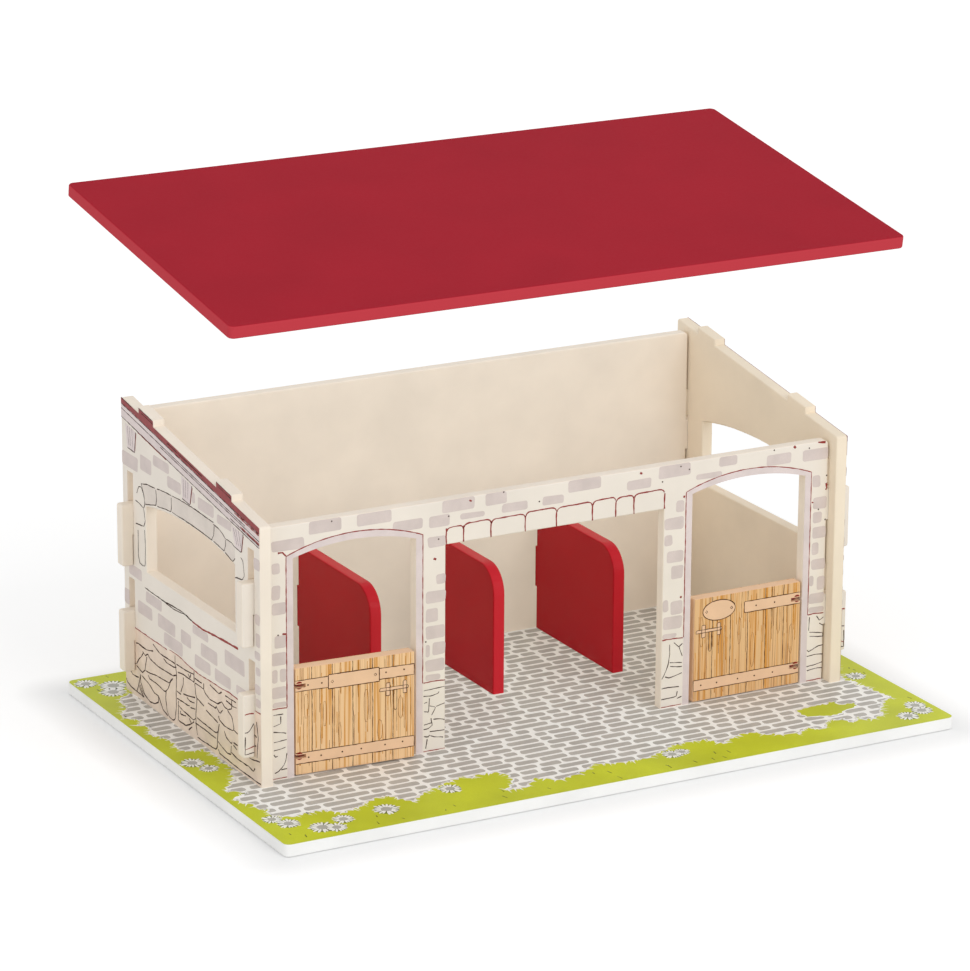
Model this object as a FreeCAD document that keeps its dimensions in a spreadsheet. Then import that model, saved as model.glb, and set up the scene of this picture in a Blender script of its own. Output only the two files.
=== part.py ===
import FreeCAD, Part
import math
import os
import re

import Sketcher

# Toy horse stable of slot-together boards: a base plate, two gable panels, a front and a back wall that
# drop-hook into the panels, three stall dividers tenoned into the back wall, two hinged half doors and a
# lift-off roof. +X runs along the front to the right, +Y to the rear, +Z up. The origin is at the centre
# of the base plate's underside.

# Driving sizes in millimetres. door_ajar_angle is in degrees.
SIZES = {
    # base plate, and how far it reaches past the building
    "base_length": 470,
    "base_depth": 320,
    "base_thickness": 8,
    "base_corner_round": 4,
    "front_apron_depth": 90,
    "rear_apron_depth": 31,
    "side_apron_width": 28,
    # side panels, measured from the base plate's top
    "panel_thickness": 8,
    "panel_front_height": 165.2,
    "panel_rise": 30,
    "panel_corner_round": 2,
    "edge_round": 1,
    "window_margin": 35,
    "window_sill_height": 89,
    "window_top_drop": 26.8,
    "window_rise": 6.4,
    # tabs on the panels' slope that locate the roof, and tenons that stand in the base plate
    "tab_length": 22,
    "tab_height": 4.2,
    "front_tab_place": 49,
    "rear_tab_place": 37.5,
    "tenon_length": 30,
    "tenon_inset": 30,
    "tenon_shy": 0.5,
    # front and back walls, whose tops lie a drop below the panels' slope
    "front_setback": 8,
    "rear_setback": 8,
    "wall_thickness": 8,
    "front_wall_drop": 5,
    "back_wall_drop": 3.4,
    "wall_end_gap": 1,
    "wall_corner_round": 3,
    # drop hooks on the walls' ends
    "hook_height": 40.5,
    "hook_drop": 20,
    "hook_reach": 8,
    "hook_round": 1.5,
    "lower_hook_place": 17.5,
    "upper_hook_drop": 36.7,
    "joint_play": 0.3,
    # openings in the front wall
    "end_pier_width": 17,
    "inner_pier_width": 20.55,
    "doorway_width": 83.2,
    "doorway_rise": 6.1,
    "doorway_head_depth": 15.3,
    "lintel_depth": 28.5,
    # stall dividers
    "outer_stall_width": 107,
    "divider_length": 102.5,
    "divider_height": 84,
    "divider_thickness": 8,
    "divider_nose_round": 18,
    "divider_tab_height": 28,
    "divider_tab_place": 28.5,
    # half doors
    "door_height": 68.5,
    "door_thickness": 8,
    "door_floor_gap": 1,
    "door_hinge_gap": 1.2,
    "door_latch_gap": 3,
    "door_hinge_round": 2,
    "door_ajar_angle": 3.5,
    # hinge pins and screw eyes
    "pin_radius": 1,
    "pin_play": 0.03,
    "pin_past_eye": 6,
    "pin_end_room": 0.5,
    "eye_wire_radius": 0.7,
    "eye_shank_radius": 0.65,
    "eye_play": 0.05,
    "eye_inset": 11.5,
    "eye_bite": 9,
    "eye_hole_play": 0.02,
    "notch_play": 0.5,
    # roof
    "roof_side_overhang": 26.5,
    "roof_end_overhang": 17.9,
    "roof_thickness": 8,
    "roof_corner_round": 4,
    "roof_lift": 126,
    "roof_seat_gap": 0.1,
    "tab_side_play": 0.5,
    "tab_end_play": 1,
    "tab_top_play": 0.5,
    # how far cutting tools run past the faces they break through
    "cut_overrun": 5,
}

# Sizes and places worked out from the driving sizes, as expressions for the sheet.
PANEL_HALF_SPAN = "(base_length / 2 - side_apron_width)"
PANEL_DEPTH = "(base_depth - front_apron_depth - rear_apron_depth)"
PANEL_FRONT = "(front_apron_depth - base_depth / 2)"
PANEL_SLOPE = f"(panel_rise / {PANEL_DEPTH})"
PANEL_SLANT = f"sqrt(1 + {PANEL_SLOPE} ^ 2)"
WALL_HALF = f"({PANEL_HALF_SPAN} - panel_thickness - wall_end_gap)"
BACK_WALL_PLACE = f"({PANEL_DEPTH} - rear_setback - wall_thickness)"
FRONT_WALL_HEIGHT = f"(panel_front_height + front_setback * {PANEL_SLOPE} - front_wall_drop)"
BACK_WALL_HEIGHT = f"(panel_front_height + {BACK_WALL_PLACE} * {PANEL_SLOPE} - back_wall_drop)"
FRONT_FACE = f"({PANEL_FRONT} + front_setback)"
BACK_INNER_FACE = f"({PANEL_FRONT} + {BACK_WALL_PLACE})"
HOOK_BACK = f"({PANEL_HALF_SPAN} + joint_play)"
HOOK_TIP = f"({PANEL_HALF_SPAN} + hook_reach)"
HOOK_PLACES = ("lower_hook_place", "(panel_front_height - upper_hook_drop - hook_height)")
WINDOW_WIDTH = f"({PANEL_DEPTH} - 2 * window_margin)"
WINDOW_SPRING = "(panel_front_height - window_top_drop - window_rise)"
OUTER_JAMB = f"({WALL_HALF} - end_pier_width)"
INNER_JAMB = f"({OUTER_JAMB} - doorway_width)"
DOORWAY_SPRING = f"({FRONT_WALL_HEIGHT} - doorway_head_depth - doorway_rise)"
DIVIDER_PITCH = f"({PANEL_HALF_SPAN} - panel_thickness - outer_stall_width - divider_thickness / 2)"
HINGE_INSET = "(door_hinge_gap + door_thickness / 2)"
DOOR_FREE_EDGE = "(doorway_width - door_latch_gap - door_hinge_gap - door_thickness / 2)"
DOOR_BOTTOM = "(base_thickness + door_floor_gap)"
EYE_RING_RADIUS = "(pin_radius + eye_play + eye_wire_radius)"
EYE_PLACES = ("eye_inset", "(door_height - eye_inset)")
PIN_LENGTH = "(door_height - eye_inset + pin_past_eye)"
TAB_PLACES = ("front_tab_place", f"({PANEL_DEPTH} - rear_tab_place)")
TENON_STARTS = ("tenon_inset", f"({PANEL_DEPTH} - tenon_inset - tenon_length)")
ROOF_HALF_LENGTH = f"({PANEL_HALF_SPAN} + roof_side_overhang)"
ROOF_HALF_RUN = f"({PANEL_DEPTH} * {PANEL_SLANT} / 2 + roof_end_overhang)"

SAME_PLACE = 1e-3

doc = FreeCAD.newDocument("stable")
sheet = doc.addObject("Spreadsheet::Sheet", "Sizes")
for row, (size_name, size_value) in enumerate(SIZES.items(), start=1):
    sheet.set(f"A{row}", size_name)
    sheet.set(f"B{row}", str(size_value))
    sheet.setAlias(f"B{row}", size_name)
doc.recompute()

parts = []


def sized(text):
    """The expression with each size's name pointed at its cell in the sheet."""
    return re.sub("[a-z_]+", lambda word: f"Sizes.{word[0]}" if word[0] in SIZES else word[0], text)


def bind(item, prop, text):
    """Tie a property to an expression of the sheet's sizes."""
    item.setExpression(prop, sized(text))


def seat(item, across, back, up):
    """Place a sub-part in the stable's frame."""
    for letter, text in zip("xyz", (across, back, up)):
        bind(item, f"Placement.Base.{letter}", text)


def new_body(label):
    """A body that becomes the sub-part of that name."""
    body = doc.addObject("PartDesign::Body", label)
    body.Label = label
    parts.append(body)
    return body


def new_sketch(body, name, role, offset="0"):
    """A sketch on one of the body's own origin planes, or at an offset along that plane's normal."""
    sketch = body.newObject("Sketcher::SketchObject", name)
    plane = next(item for item in body.Origin.OriginFeatures if item.Role == role)
    sketch.AttachmentSupport = [(plane, "")]
    sketch.MapMode = "FlatFace"
    bind(sketch, "AttachmentOffset.Base.z", offset)
    return sketch


def pin_point(sketch, kind, geometry, position, text):
    """Hold one coordinate of a point of the sketch to an expression."""
    start = sketch.evalExpression(sized(text))
    constraint = Sketcher.Constraint(kind, -1, 1, geometry, position, start)
    index = sketch.addConstraint(constraint)
    bind(sketch, f"Constraints[{index}]", text)


def side_between(sketch, start, end, centre_up):
    """A straight side, or an arc that bulges outwards about a centre at the given height."""
    if centre_up is None:
        return Part.LineSegment(start, end)
    height = sketch.evalExpression(sized(centre_up))
    lever = (end.y - start.y) * (end.y + start.y - 2 * height)
    centre = FreeCAD.Vector((end.x + start.x + lever / (end.x - start.x)) / 2, height, 0)
    turn_from = math.atan2(start.y - centre.y, start.x - centre.x)
    turn_to = math.atan2(end.y - centre.y, end.x - centre.x)
    if turn_to < turn_from:
        turn_to += 2 * math.pi
    circle = Part.Circle(centre, FreeCAD.Vector(0, 0, 1), (start - centre).Length)
    return Part.ArcOfCircle(circle, turn_from, turn_to)


def outline(sketch, corners, arcs=None):
    """A closed outline through corners, counter-clockwise; arcs gives a side's arc centre height."""
    arcs = arcs or {}
    first = sketch.GeometryCount
    count = len(corners)
    points = []
    for across, up in corners:
        spot = [sketch.evalExpression(sized(text)) for text in (across, up)]
        points.append(FreeCAD.Vector(spot[0], spot[1], 0))
    for index in range(count):
        side = side_between(sketch, points[index], points[(index + 1) % count], arcs.get(index))
        sketch.addGeometry(side, False)
    for index in range(count):
        following = first + (index + 1) % count
        sketch.addConstraint(Sketcher.Constraint("Coincident", first + index, 2, following, 1))
    for index, (across, up) in enumerate(corners):
        pin_point(sketch, "DistanceX", first + index, 1, across)
        pin_point(sketch, "DistanceY", first + index, 1, up)
    for index, centre_up in arcs.items():
        pin_point(sketch, "DistanceY", first + index, 3, centre_up)


def rectangle(sketch, left, right, low, high):
    """A closed rectangle."""
    outline(sketch, [(left, low), (right, low), (right, high), (left, high)])


def arched_opening(sketch, left, right, low, spring, width, rise):
    """A rectangle with a low circular arch above its spring line."""
    corners = [(left, low), (right, low), (right, spring), (left, spring)]
    outline(sketch, corners, {2: f"{spring} + {rise} / 2 - {width} ^ 2 / (8 * {rise})"})


def hole_circle(sketch, across, up, radius):
    """A full circle, for a round hole."""
    index = sketch.addGeometry(Part.Circle(FreeCAD.Vector(), FreeCAD.Vector(0, 0, 1), 1), False)
    pin_point(sketch, "DistanceX", index, 3, across)
    pin_point(sketch, "DistanceY", index, 3, up)
    start = sketch.evalExpression(sized(radius))
    constraint = sketch.addConstraint(Sketcher.Constraint("Radius", index, start))
    bind(sketch, f"Constraints[{constraint}]", radius)


def extrude(body, kind, sketch, length, reverse=False, sides="One side"):
    """Pad or pocket a sketch of the body."""
    feature = body.newObject(f"PartDesign::{kind}", f"{sketch.Name}_{kind}")
    feature.Profile = sketch
    feature.Reversed = reverse
    feature.SideType = sides
    bind(feature, "Length", length)
    doc.recompute()
    return feature


def round_edges(body, feature, radius, chosen):
    """Round those edges of the feature's shape that the test chooses."""
    names = [f"Edge{i}" for i, edge in enumerate(feature.Shape.Edges, start=1) if chosen(edge)]
    fillet = body.newObject("PartDesign::Fillet", f"{body.Name}_round")
    fillet.Base = (feature, names)
    bind(fillet, "Radius", radius)
    doc.recompute()
    return fillet


def span(item, letter):
    """Lowest and highest coordinate of a shape along an axis."""
    box = item.BoundBox
    letter = letter.upper()
    return getattr(box, f"{letter}Min"), getattr(box, f"{letter}Max")


def same(first, second):
    """True for two coordinates of one place."""
    return abs(first - second) < SAME_PLACE


def runs_along(edge, letter):
    """True for a straight edge parallel to the axis."""
    direction = edge.Vertexes[-1].Point - edge.Vertexes[0].Point
    return same(abs(getattr(direction, letter)), edge.Length)


def at_level(edge, letter, level):
    """True for an edge that lies at one level of the axis."""
    return all(same(end, level) for end in span(edge, letter))


def round_rims(body, board, letter):
    """Round the rims of a board's two flat faces, except where an upright board meets the floor."""
    for level in span(board.Shape, letter):
        board = round_edges(
            body,
            board,
            "edge_round",
            lambda edge: at_level(edge, letter, level) and (letter == "z" or not at_level(edge, "z", 0)),
        )
    return board


def mirrored(corners):
    """The corners reflected to the other side of the centre line, still counter-clockwise."""
    return [(f"-{across}", up) for across, up in reversed(corners)]


def hooked_end(height):
    """Corners of a wall's right end with its two drop hooks, from the bottom up."""
    corners = [(WALL_HALF, "0")]
    for place in HOOK_PLACES:
        neck_bottom = f"({place} + hook_drop)"
        hook_top = f"({place} + hook_height)"
        corners += [
            (WALL_HALF, neck_bottom),
            (HOOK_BACK, neck_bottom),
            (HOOK_BACK, place),
            (HOOK_TIP, place),
            (HOOK_TIP, hook_top),
            (WALL_HALF, hook_top),
        ]
    corners.append((WALL_HALF, height))
    return corners


def hooked_wall(label, height, cut_openings):
    """A wall board with drop hooks at both ends, its front face at the body's Y = 0."""
    body = new_body(label)
    sketch = new_sketch(body, f"{label}_outline", "XZ_Plane")
    end = hooked_end(height)
    outline(sketch, end + mirrored(end))
    board = extrude(body, "Pad", sketch, "wall_thickness", reverse=True)
    top = span(board.Shape, "z")[1]
    tips = span(board.Shape, "x")
    board = round_edges(
        body, board, "wall_corner_round", lambda edge: runs_along(edge, "y") and at_level(edge, "z", top)
    )
    board = round_edges(
        body,
        board,
        "hook_round",
        lambda edge: runs_along(edge, "y") and any(at_level(edge, "x", tip) for tip in tips),
    )
    board = cut_openings(body)
    round_rims(body, board, "y")
    return body


def front_openings(body):
    """Two arched doorways and a wide square opening between them, all down to the floor."""
    sketch = new_sketch(body, "front_opening", "XZ_Plane")
    for left, right in ((f"-{OUTER_JAMB}", f"-{INNER_JAMB}"), (INNER_JAMB, OUTER_JAMB)):
        arched_opening(sketch, left, right, "-cut_overrun", DOORWAY_SPRING, "doorway_width", "doorway_rise")
    half = f"({INNER_JAMB} - inner_pier_width)"
    rectangle(sketch, f"-{half}", half, "-cut_overrun", f"{FRONT_WALL_HEIGHT} - lintel_depth")
    return extrude(body, "Pocket", sketch, "wall_thickness + cut_overrun")


def divider_slots(body):
    """One slot for each stall divider's tab."""
    sketch = new_sketch(body, "divider_slot", "XZ_Plane")
    half = "(divider_thickness / 2 + joint_play)"
    low = "(divider_tab_place - joint_play)"
    high = "(divider_tab_place + divider_tab_height + joint_play)"
    for middle in (f"-{DIVIDER_PITCH}", "0", DIVIDER_PITCH):
        rectangle(sketch, f"{middle} - {half}", f"{middle} + {half}", low, high)
    return extrude(body, "Pocket", sketch, "wall_thickness + cut_overrun")


def make_base():
    """Base plate with mortises for the side panels' tenons."""
    body = new_body("base_plate")
    sketch = new_sketch(body, "base_outline", "XY_Plane")
    rectangle(sketch, "-base_length / 2", "base_length / 2", "-base_depth / 2", "base_depth / 2")
    plate = extrude(body, "Pad", sketch, "base_thickness")
    plate = round_edges(body, plate, "base_corner_round", lambda edge: runs_along(edge, "z"))
    round_rims(body, plate, "z")
    mortises = new_sketch(body, "base_mortise", "XY_Plane")
    for left in (f"-{PANEL_HALF_SPAN}", f"{PANEL_HALF_SPAN} - panel_thickness"):
        for start in TENON_STARTS:
            front = f"{PANEL_FRONT} + {start}"
            rectangle(
                mortises,
                f"{left} - joint_play",
                f"{left} + panel_thickness + joint_play",
                f"{front} - joint_play",
                f"{front} + tenon_length + joint_play",
            )
    extrude(body, "Pocket", mortises, "base_thickness + cut_overrun", reverse=True)


def panel_corners():
    """A side panel's outline seen from its left, from the front bottom corner round."""
    depth = "(base_thickness - tenon_shy)"
    corners = [("0", "0")]
    for start in TENON_STARTS:
        end = f"({start} + tenon_length)"
        corners += [(start, "0"), (start, f"-{depth}"), (end, f"-{depth}"), (end, "0")]
    corners += [(PANEL_DEPTH, "0"), (PANEL_DEPTH, "panel_front_height + panel_rise")]
    for place in reversed(TAB_PLACES):
        for side in ("+", "-"):
            along = f"({place} {side} tab_length / 2)"
            slope_up = f"panel_front_height + {along} * {PANEL_SLOPE}"
            tab = [(along, slope_up), (along, f"{slope_up} + tab_height")]
            corners += tab if side == "+" else tab[::-1]
    corners.append(("0", "panel_front_height"))
    return corners


def make_side_panel(label, left_face):
    """Gable board with an arched window and a slot for each wall's hooks."""
    body = new_body(label)
    seat(body, left_face, PANEL_FRONT, "base_thickness")
    sketch = new_sketch(body, f"{label}_outline", "YZ_Plane")
    outline(sketch, panel_corners())
    rear_jamb = f"({PANEL_DEPTH} - window_margin)"
    arched_opening(
        sketch, "window_margin", rear_jamb, "window_sill_height", WINDOW_SPRING, WINDOW_WIDTH, "window_rise"
    )
    board = extrude(body, "Pad", sketch, "panel_thickness")
    ends = span(board.Shape, "y")
    board = round_edges(
        body,
        board,
        "panel_corner_round",
        lambda edge: runs_along(edge, "x")
        and any(at_level(edge, "y", end) for end in ends)
        and edge.CenterOfMass.z > SAME_PLACE,
    )
    round_rims(body, board, "x")
    slots = new_sketch(body, f"{label}_slot", "YZ_Plane")
    for front in ("front_setback", BACK_WALL_PLACE):
        for place in HOOK_PLACES:
            low = f"({place} + hook_drop - joint_play)"
            rectangle(
                slots,
                f"{front} - joint_play",
                f"{front} + wall_thickness + joint_play",
                low,
                f"{low} + hook_height + 2 * joint_play",
            )
    extrude(body, "Pocket", slots, "panel_thickness + cut_overrun", reverse=True)


def make_front_wall():
    """Front wall, with bores in the outer jambs for the screw eyes."""
    body = hooked_wall("front_wall", FRONT_WALL_HEIGHT, front_openings)
    seat(body, "0", FRONT_FACE, "base_thickness")
    for side, jamb, inward in (("left", f"-{OUTER_JAMB}", False), ("right", OUTER_JAMB, True)):
        sketch = new_sketch(body, f"{side}_eye_bore", "YZ_Plane", jamb)
        for place in EYE_PLACES:
            height = f"door_floor_gap + {place}"
            hole_circle(sketch, "door_thickness / 2", height, "eye_shank_radius + eye_hole_play")
        extrude(body, "Pocket", sketch, "eye_bite + eye_hole_play", reverse=inward)


def make_back_wall():
    """Back wall, with slots for the dividers' tabs."""
    body = hooked_wall("back_wall", BACK_WALL_HEIGHT, divider_slots)
    seat(body, "0", BACK_INNER_FACE, "base_thickness")


def make_divider(label, middle):
    """Stall divider with a rounded front top corner and a tab that plugs through the back wall."""
    body = new_body(label)
    seat(body, f"{middle} - divider_thickness / 2", f"{BACK_INNER_FACE} - divider_length", "base_thickness")
    sketch = new_sketch(body, f"{label}_outline", "YZ_Plane")
    tab_top = "(divider_tab_place + divider_tab_height)"
    tab_end = "(divider_length + wall_thickness)"
    nose_centre = "(divider_height - divider_nose_round)"
    corners = [
        ("0", "0"),
        ("divider_length", "0"),
        ("divider_length", "divider_tab_place"),
        (tab_end, "divider_tab_place"),
        (tab_end, tab_top),
        ("divider_length", tab_top),
        ("divider_length", "divider_height"),
        ("divider_nose_round", "divider_height"),
        ("0", nose_centre),
    ]
    outline(sketch, corners, {7: nose_centre})
    board = extrude(body, "Pad", sketch, "divider_thickness")
    round_rims(body, board, "x")


def make_door(label, hinge, turn):
    """Half door on its hinge axis, with a blind bore for the pin and a notch around each screw eye."""
    body = new_body(label)
    body.Placement.Rotation = FreeCAD.Rotation(FreeCAD.Vector(0, 0, 1), 90)
    bind(body, "Placement.Rotation.Angle", turn)
    seat(body, hinge, f"{FRONT_FACE} + door_thickness / 2", DOOR_BOTTOM)
    sketch = new_sketch(body, f"{label}_outline", "XZ_Plane")
    rectangle(sketch, "-door_thickness / 2", DOOR_FREE_EDGE, "0", "door_height")
    leaf = extrude(body, "Pad", sketch, "door_thickness", sides="Symmetric")
    hinge_edge, free_edge = span(leaf.Shape, "x")
    leaf = round_edges(
        body,
        leaf,
        "door_hinge_round",
        lambda edge: runs_along(edge, "z") and at_level(edge, "x", hinge_edge),
    )
    top = span(leaf.Shape, "z")[1]
    leaf = round_edges(
        body,
        leaf,
        "edge_round",
        lambda edge: at_level(edge, "z", top) or runs_along(edge, "z") and at_level(edge, "x", free_edge),
    )
    notches = new_sketch(body, f"{label}_notch", "XZ_Plane")
    reach = f"({EYE_RING_RADIUS} + eye_wire_radius + notch_play)"
    half = "(eye_wire_radius + notch_play)"
    for place in EYE_PLACES:
        rectangle(
            notches, "-door_thickness / 2 - cut_overrun", reach, f"{place} - {half}", f"{place} + {half}"
        )
    extrude(body, "Pocket", notches, "door_thickness + 2 * cut_overrun", sides="Symmetric")
    bore = new_sketch(body, f"{label}_bore", "XY_Plane")
    hole_circle(bore, "0", "0", "pin_radius + pin_play")
    extrude(body, "Pocket", bore, f"{PIN_LENGTH} + pin_end_room", reverse=True)


def make_pin(label, hinge):
    """Steel hinge pin, pushed up the door's bore."""
    pin = doc.addObject("Part::Cylinder", label)
    pin.Label = label
    bind(pin, "Radius", "pin_radius")
    bind(pin, "Height", PIN_LENGTH)
    seat(pin, hinge, f"{FRONT_FACE} + door_thickness / 2", DOOR_BOTTOM)
    parts.append(pin)


def make_eye(label, hinge, place, turn):
    """Screw eye: a level wire ring around the pin and a shank that bites into the jamb."""
    ring = doc.addObject("Part::Torus", f"{label}_ring")
    bind(ring, "Radius1", EYE_RING_RADIUS)
    bind(ring, "Radius2", "eye_wire_radius")
    shank = doc.addObject("Part::Cylinder", f"{label}_shank")
    shank.Placement.Rotation = FreeCAD.Rotation(FreeCAD.Vector(0, 1, 0), -90)
    bind(shank, "Radius", "eye_shank_radius")
    bind(shank, "Height", f"{HINGE_INSET} + eye_bite - {EYE_RING_RADIUS}")
    bind(shank, "Placement.Base.x", f"-{EYE_RING_RADIUS}")
    eye = doc.addObject("Part::Fuse", label)
    eye.Label = label
    eye.Base = ring
    eye.Tool = shank
    eye.Placement.Rotation = FreeCAD.Rotation(FreeCAD.Vector(0, 0, 1), turn)
    seat(eye, hinge, f"{FRONT_FACE} + door_thickness / 2", f"{DOOR_BOTTOM} + {place}")
    parts.append(eye)


def make_roof():
    """Roof board, held above its seat, with a blind recess underneath for each tab."""
    body = new_body("roof_panel")
    body.Placement.Rotation = FreeCAD.Rotation(FreeCAD.Vector(1, 0, 0), 45)
    bind(body, "Placement.Rotation.Angle", f"atan({PANEL_SLOPE})")
    seat_height = "base_thickness + panel_front_height + panel_rise / 2 + roof_seat_gap"
    seat(body, "0", f"{PANEL_FRONT} + {PANEL_DEPTH} / 2", f"{seat_height} + roof_lift")
    sketch = new_sketch(body, "roof_outline", "XY_Plane")
    rectangle(sketch, f"-{ROOF_HALF_LENGTH}", ROOF_HALF_LENGTH, f"-{ROOF_HALF_RUN}", ROOF_HALF_RUN)
    board = extrude(body, "Pad", sketch, "roof_thickness")
    board = round_edges(body, board, "roof_corner_round", lambda edge: runs_along(edge, "z"))
    round_rims(body, board, "z")
    recesses = new_sketch(body, "roof_recess", "XY_Plane")
    half_length = f"(tab_length / 2 * {PANEL_SLANT} + tab_end_play)"
    half_width = "(panel_thickness / 2 + tab_side_play)"
    for side in ("-", ""):
        middle = f"{side}({PANEL_HALF_SPAN} - panel_thickness / 2)"
        for place in TAB_PLACES:
            along = f"({place} - {PANEL_DEPTH} / 2) * {PANEL_SLANT}"
            rectangle(
                recesses,
                f"{middle} - {half_width}",
                f"{middle} + {half_width}",
                f"{along} - {half_length}",
                f"{along} + {half_length}",
            )
    extrude(body, "Pocket", recesses, "tab_height + tab_top_play", reverse=True)


def make_stable():
    make_base()
    make_side_panel("left_side_panel", f"-{PANEL_HALF_SPAN}")
    make_side_panel("right_side_panel", f"{PANEL_HALF_SPAN} - panel_thickness")
    make_front_wall()
    make_back_wall()
    make_divider("stall_divider_left", f"-{DIVIDER_PITCH}")
    make_divider("stall_divider_middle", "0")
    make_divider("stall_divider_right", DIVIDER_PITCH)
    hinge = f"({OUTER_JAMB} - {HINGE_INSET})"
    for side, place, door_turn, eye_turn in (
        ("left", f"-{hinge}", "360 - door_ajar_angle", 0),
        ("right", hinge, "180", 180),
    ):
        make_door(f"{side}_door", place, door_turn)
        make_pin(f"{side}_door_pin", place)
        for level, eye_place in zip(("lower", "upper"), EYE_PLACES):
            make_eye(f"{side}_door_{level}_eye", place, eye_place, eye_turn)
    make_roof()
    doc.recompute()


def write_parts():
    """Check every object, then write each sub-part's solid to its own file."""
    for item in doc.Objects:
        if "Invalid" in item.State or "Error" in item.State:
            raise RuntimeError(f"{item.Name} failed: {item.State}")
    for part in parts:
        if part.Shape.isNull() or not part.Shape.isValid():
            raise RuntimeError(f"{part.Label} has no valid shape")
    os.makedirs("parts", exist_ok=True)
    for part in parts:
        part.Shape.exportStep(f"parts/{part.Label}.step")
        box = part.Shape.BoundBox
        print(part.Label, len(part.Shape.Solids), round(part.Shape.Volume, 1), box)


make_stable()
write_parts()
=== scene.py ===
import math
import random

import bmesh
import bpy
from mathutils import Matrix, Vector


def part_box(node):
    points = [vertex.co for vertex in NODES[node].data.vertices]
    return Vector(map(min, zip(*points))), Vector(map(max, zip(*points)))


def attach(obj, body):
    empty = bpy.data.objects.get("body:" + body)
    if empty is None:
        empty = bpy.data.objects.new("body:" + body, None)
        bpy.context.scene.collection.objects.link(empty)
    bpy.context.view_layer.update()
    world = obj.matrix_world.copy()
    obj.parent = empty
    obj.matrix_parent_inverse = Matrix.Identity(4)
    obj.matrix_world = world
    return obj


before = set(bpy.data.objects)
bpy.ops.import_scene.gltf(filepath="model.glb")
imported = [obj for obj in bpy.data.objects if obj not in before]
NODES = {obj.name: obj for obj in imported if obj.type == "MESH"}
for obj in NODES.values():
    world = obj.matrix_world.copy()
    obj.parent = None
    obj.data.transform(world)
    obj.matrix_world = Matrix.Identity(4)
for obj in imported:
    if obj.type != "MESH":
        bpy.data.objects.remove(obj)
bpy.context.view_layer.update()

bl_info = {
    "name": "Toy Horse Stable",
    "version": (1, 0, 0),
    "blender": (4, 5, 0),
    "location": "3D View > Sidebar > Stable",
    "description": "Prints the boards and lacquers the panels of a toy horse stable",
    "category": "Object",
}

DIVIDERS = ("stall_divider_left", "stall_divider_middle", "stall_divider_right")

# The tables below are in millimetres.
MM = 0.001

# Faces that carry a print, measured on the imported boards.
FRONT_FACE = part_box("front_wall")[0].y
BACK_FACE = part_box("back_wall")[1].y
RIGHT_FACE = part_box("right_side_panel")[1].x
BASE_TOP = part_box("base_plate")[1].z
DOOR_FACE, DOOR_BACK = (corner.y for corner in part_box("right_door"))


def linear(hex_colour):
    channels = [int(hex_colour[i:i + 2], 16) / 255 for i in (1, 3, 5)]
    return tuple(
        c / 12.92 if c <= 0.04045 else ((c + 0.055) / 1.055) ** 2.4 for c in channels
    )


def colour(name, description, value):
    return bpy.props.FloatVectorProperty(
        name=name, description=description, subtype="COLOR", size=3, min=0.0, max=1.0,
        default=linear(value))


def length(name, description, value):
    return bpy.props.FloatProperty(
        name=name, description=description, unit="LENGTH", precision=5, min=0.0,
        default=value * MM)


class StableColours(bpy.types.PropertyGroup):
    """Paint and ink colours of the stable"""

    paint: colour("Board paint", "Cream paint inside the walls and on cut edges", "#F8ECDC")
    # Painted shade: the right side panel's inside and edges are painted a yellower, darker cream
    # to stand in for the shade inside it.
    warm_paint: colour("Warm board paint", "Yellower cream of the right side panel", "#F7E8D1")
    wall: colour("Wall ground", "Ground colour of the printed outer walls", "#F1E8DC")
    brick: colour("Bricks", "Lilac grey of the printed bricks", "#DACCC6")
    arch: colour("Arch stones", "Grey cream of the stones over the gable windows", "#E6DBD0")
    band: colour("Doorway bands", "Lilac of the bands round the doorways", "#E4D6D3")
    red_line: colour("Red lines", "Dark red drawing lines", "#A04440")
    brown_line: colour("Brown lines", "Brown outlines of the stones", "#3A2118")
    stone: colour("Stones", "Tan tint of the plinth stones", "#F0DCCA")
    tile_edge: colour("Roof edge print", "Dark red tiles drawn along the gable slope", "#94393B")
    joint: colour("Paving joints", "Pale ground between the cobbles", "#FFFDF8")
    base_edge: colour("Base paint", "White paint on the edges of the base", "#FAFAF8")
    cobble: colour("Cobbles", "Warm grey of the printed cobbles", "#BCB8B1")
    grass: colour("Grass", "Yellow green of the printed grass", "#C9D124")
    grass_dark: colour("Grass shade", "Darker strokes in the grass", "#5E6A1C")
    petal: colour("Petals", "White of the daisies", "#F8F7F2")
    heart: colour("Daisy hearts", "Grey heart of the daisies", "#B4B3AA")
    hinge: colour("Hinges", "Dark red of the hinges and the print round them", "#8E241F")
    # Painted light: the left door's planks are painted paler than the right door's to make up for
    # the ajar door catching less light.
    pine: colour("Left door planks", "Pale tan of the printed planks", "#F4CC9C")
    warm_pine: colour("Right door planks", "Warmer tan of the printed planks", "#EABF8B")
    door_line: colour("Door lines", "Brown outlines of the planks and battens", "#4A2410")
    pine_dark: colour("Plank grain", "Orange of the printed grain", "#D8943E")
    grain: colour("Grain lines", "Brown of the thin printed grain lines", "#9C6230")
    strap: colour("Door battens", "Pale tan of the battens and plates", "#F1C9A4")
    lacquer: colour("Red lacquer", "Red of the roof", "#AA1F2F")
    divider_lacquer: colour("Divider lacquer", "Red of the dividers", "#B40F1C")
    # Painted highlight: the dividers' edges are painted a paler red where light catches them.
    divider_edge: colour("Divider edge", "Paler red on the dividers' edges", "#D22C37")
    # Painted highlight: the roof's edges are painted a paler red where light falls on them.
    thin_lacquer: colour(
        "Lacquer on the roof's edge", "Paler red where the lacquer runs thin", "#C43F49")


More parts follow.
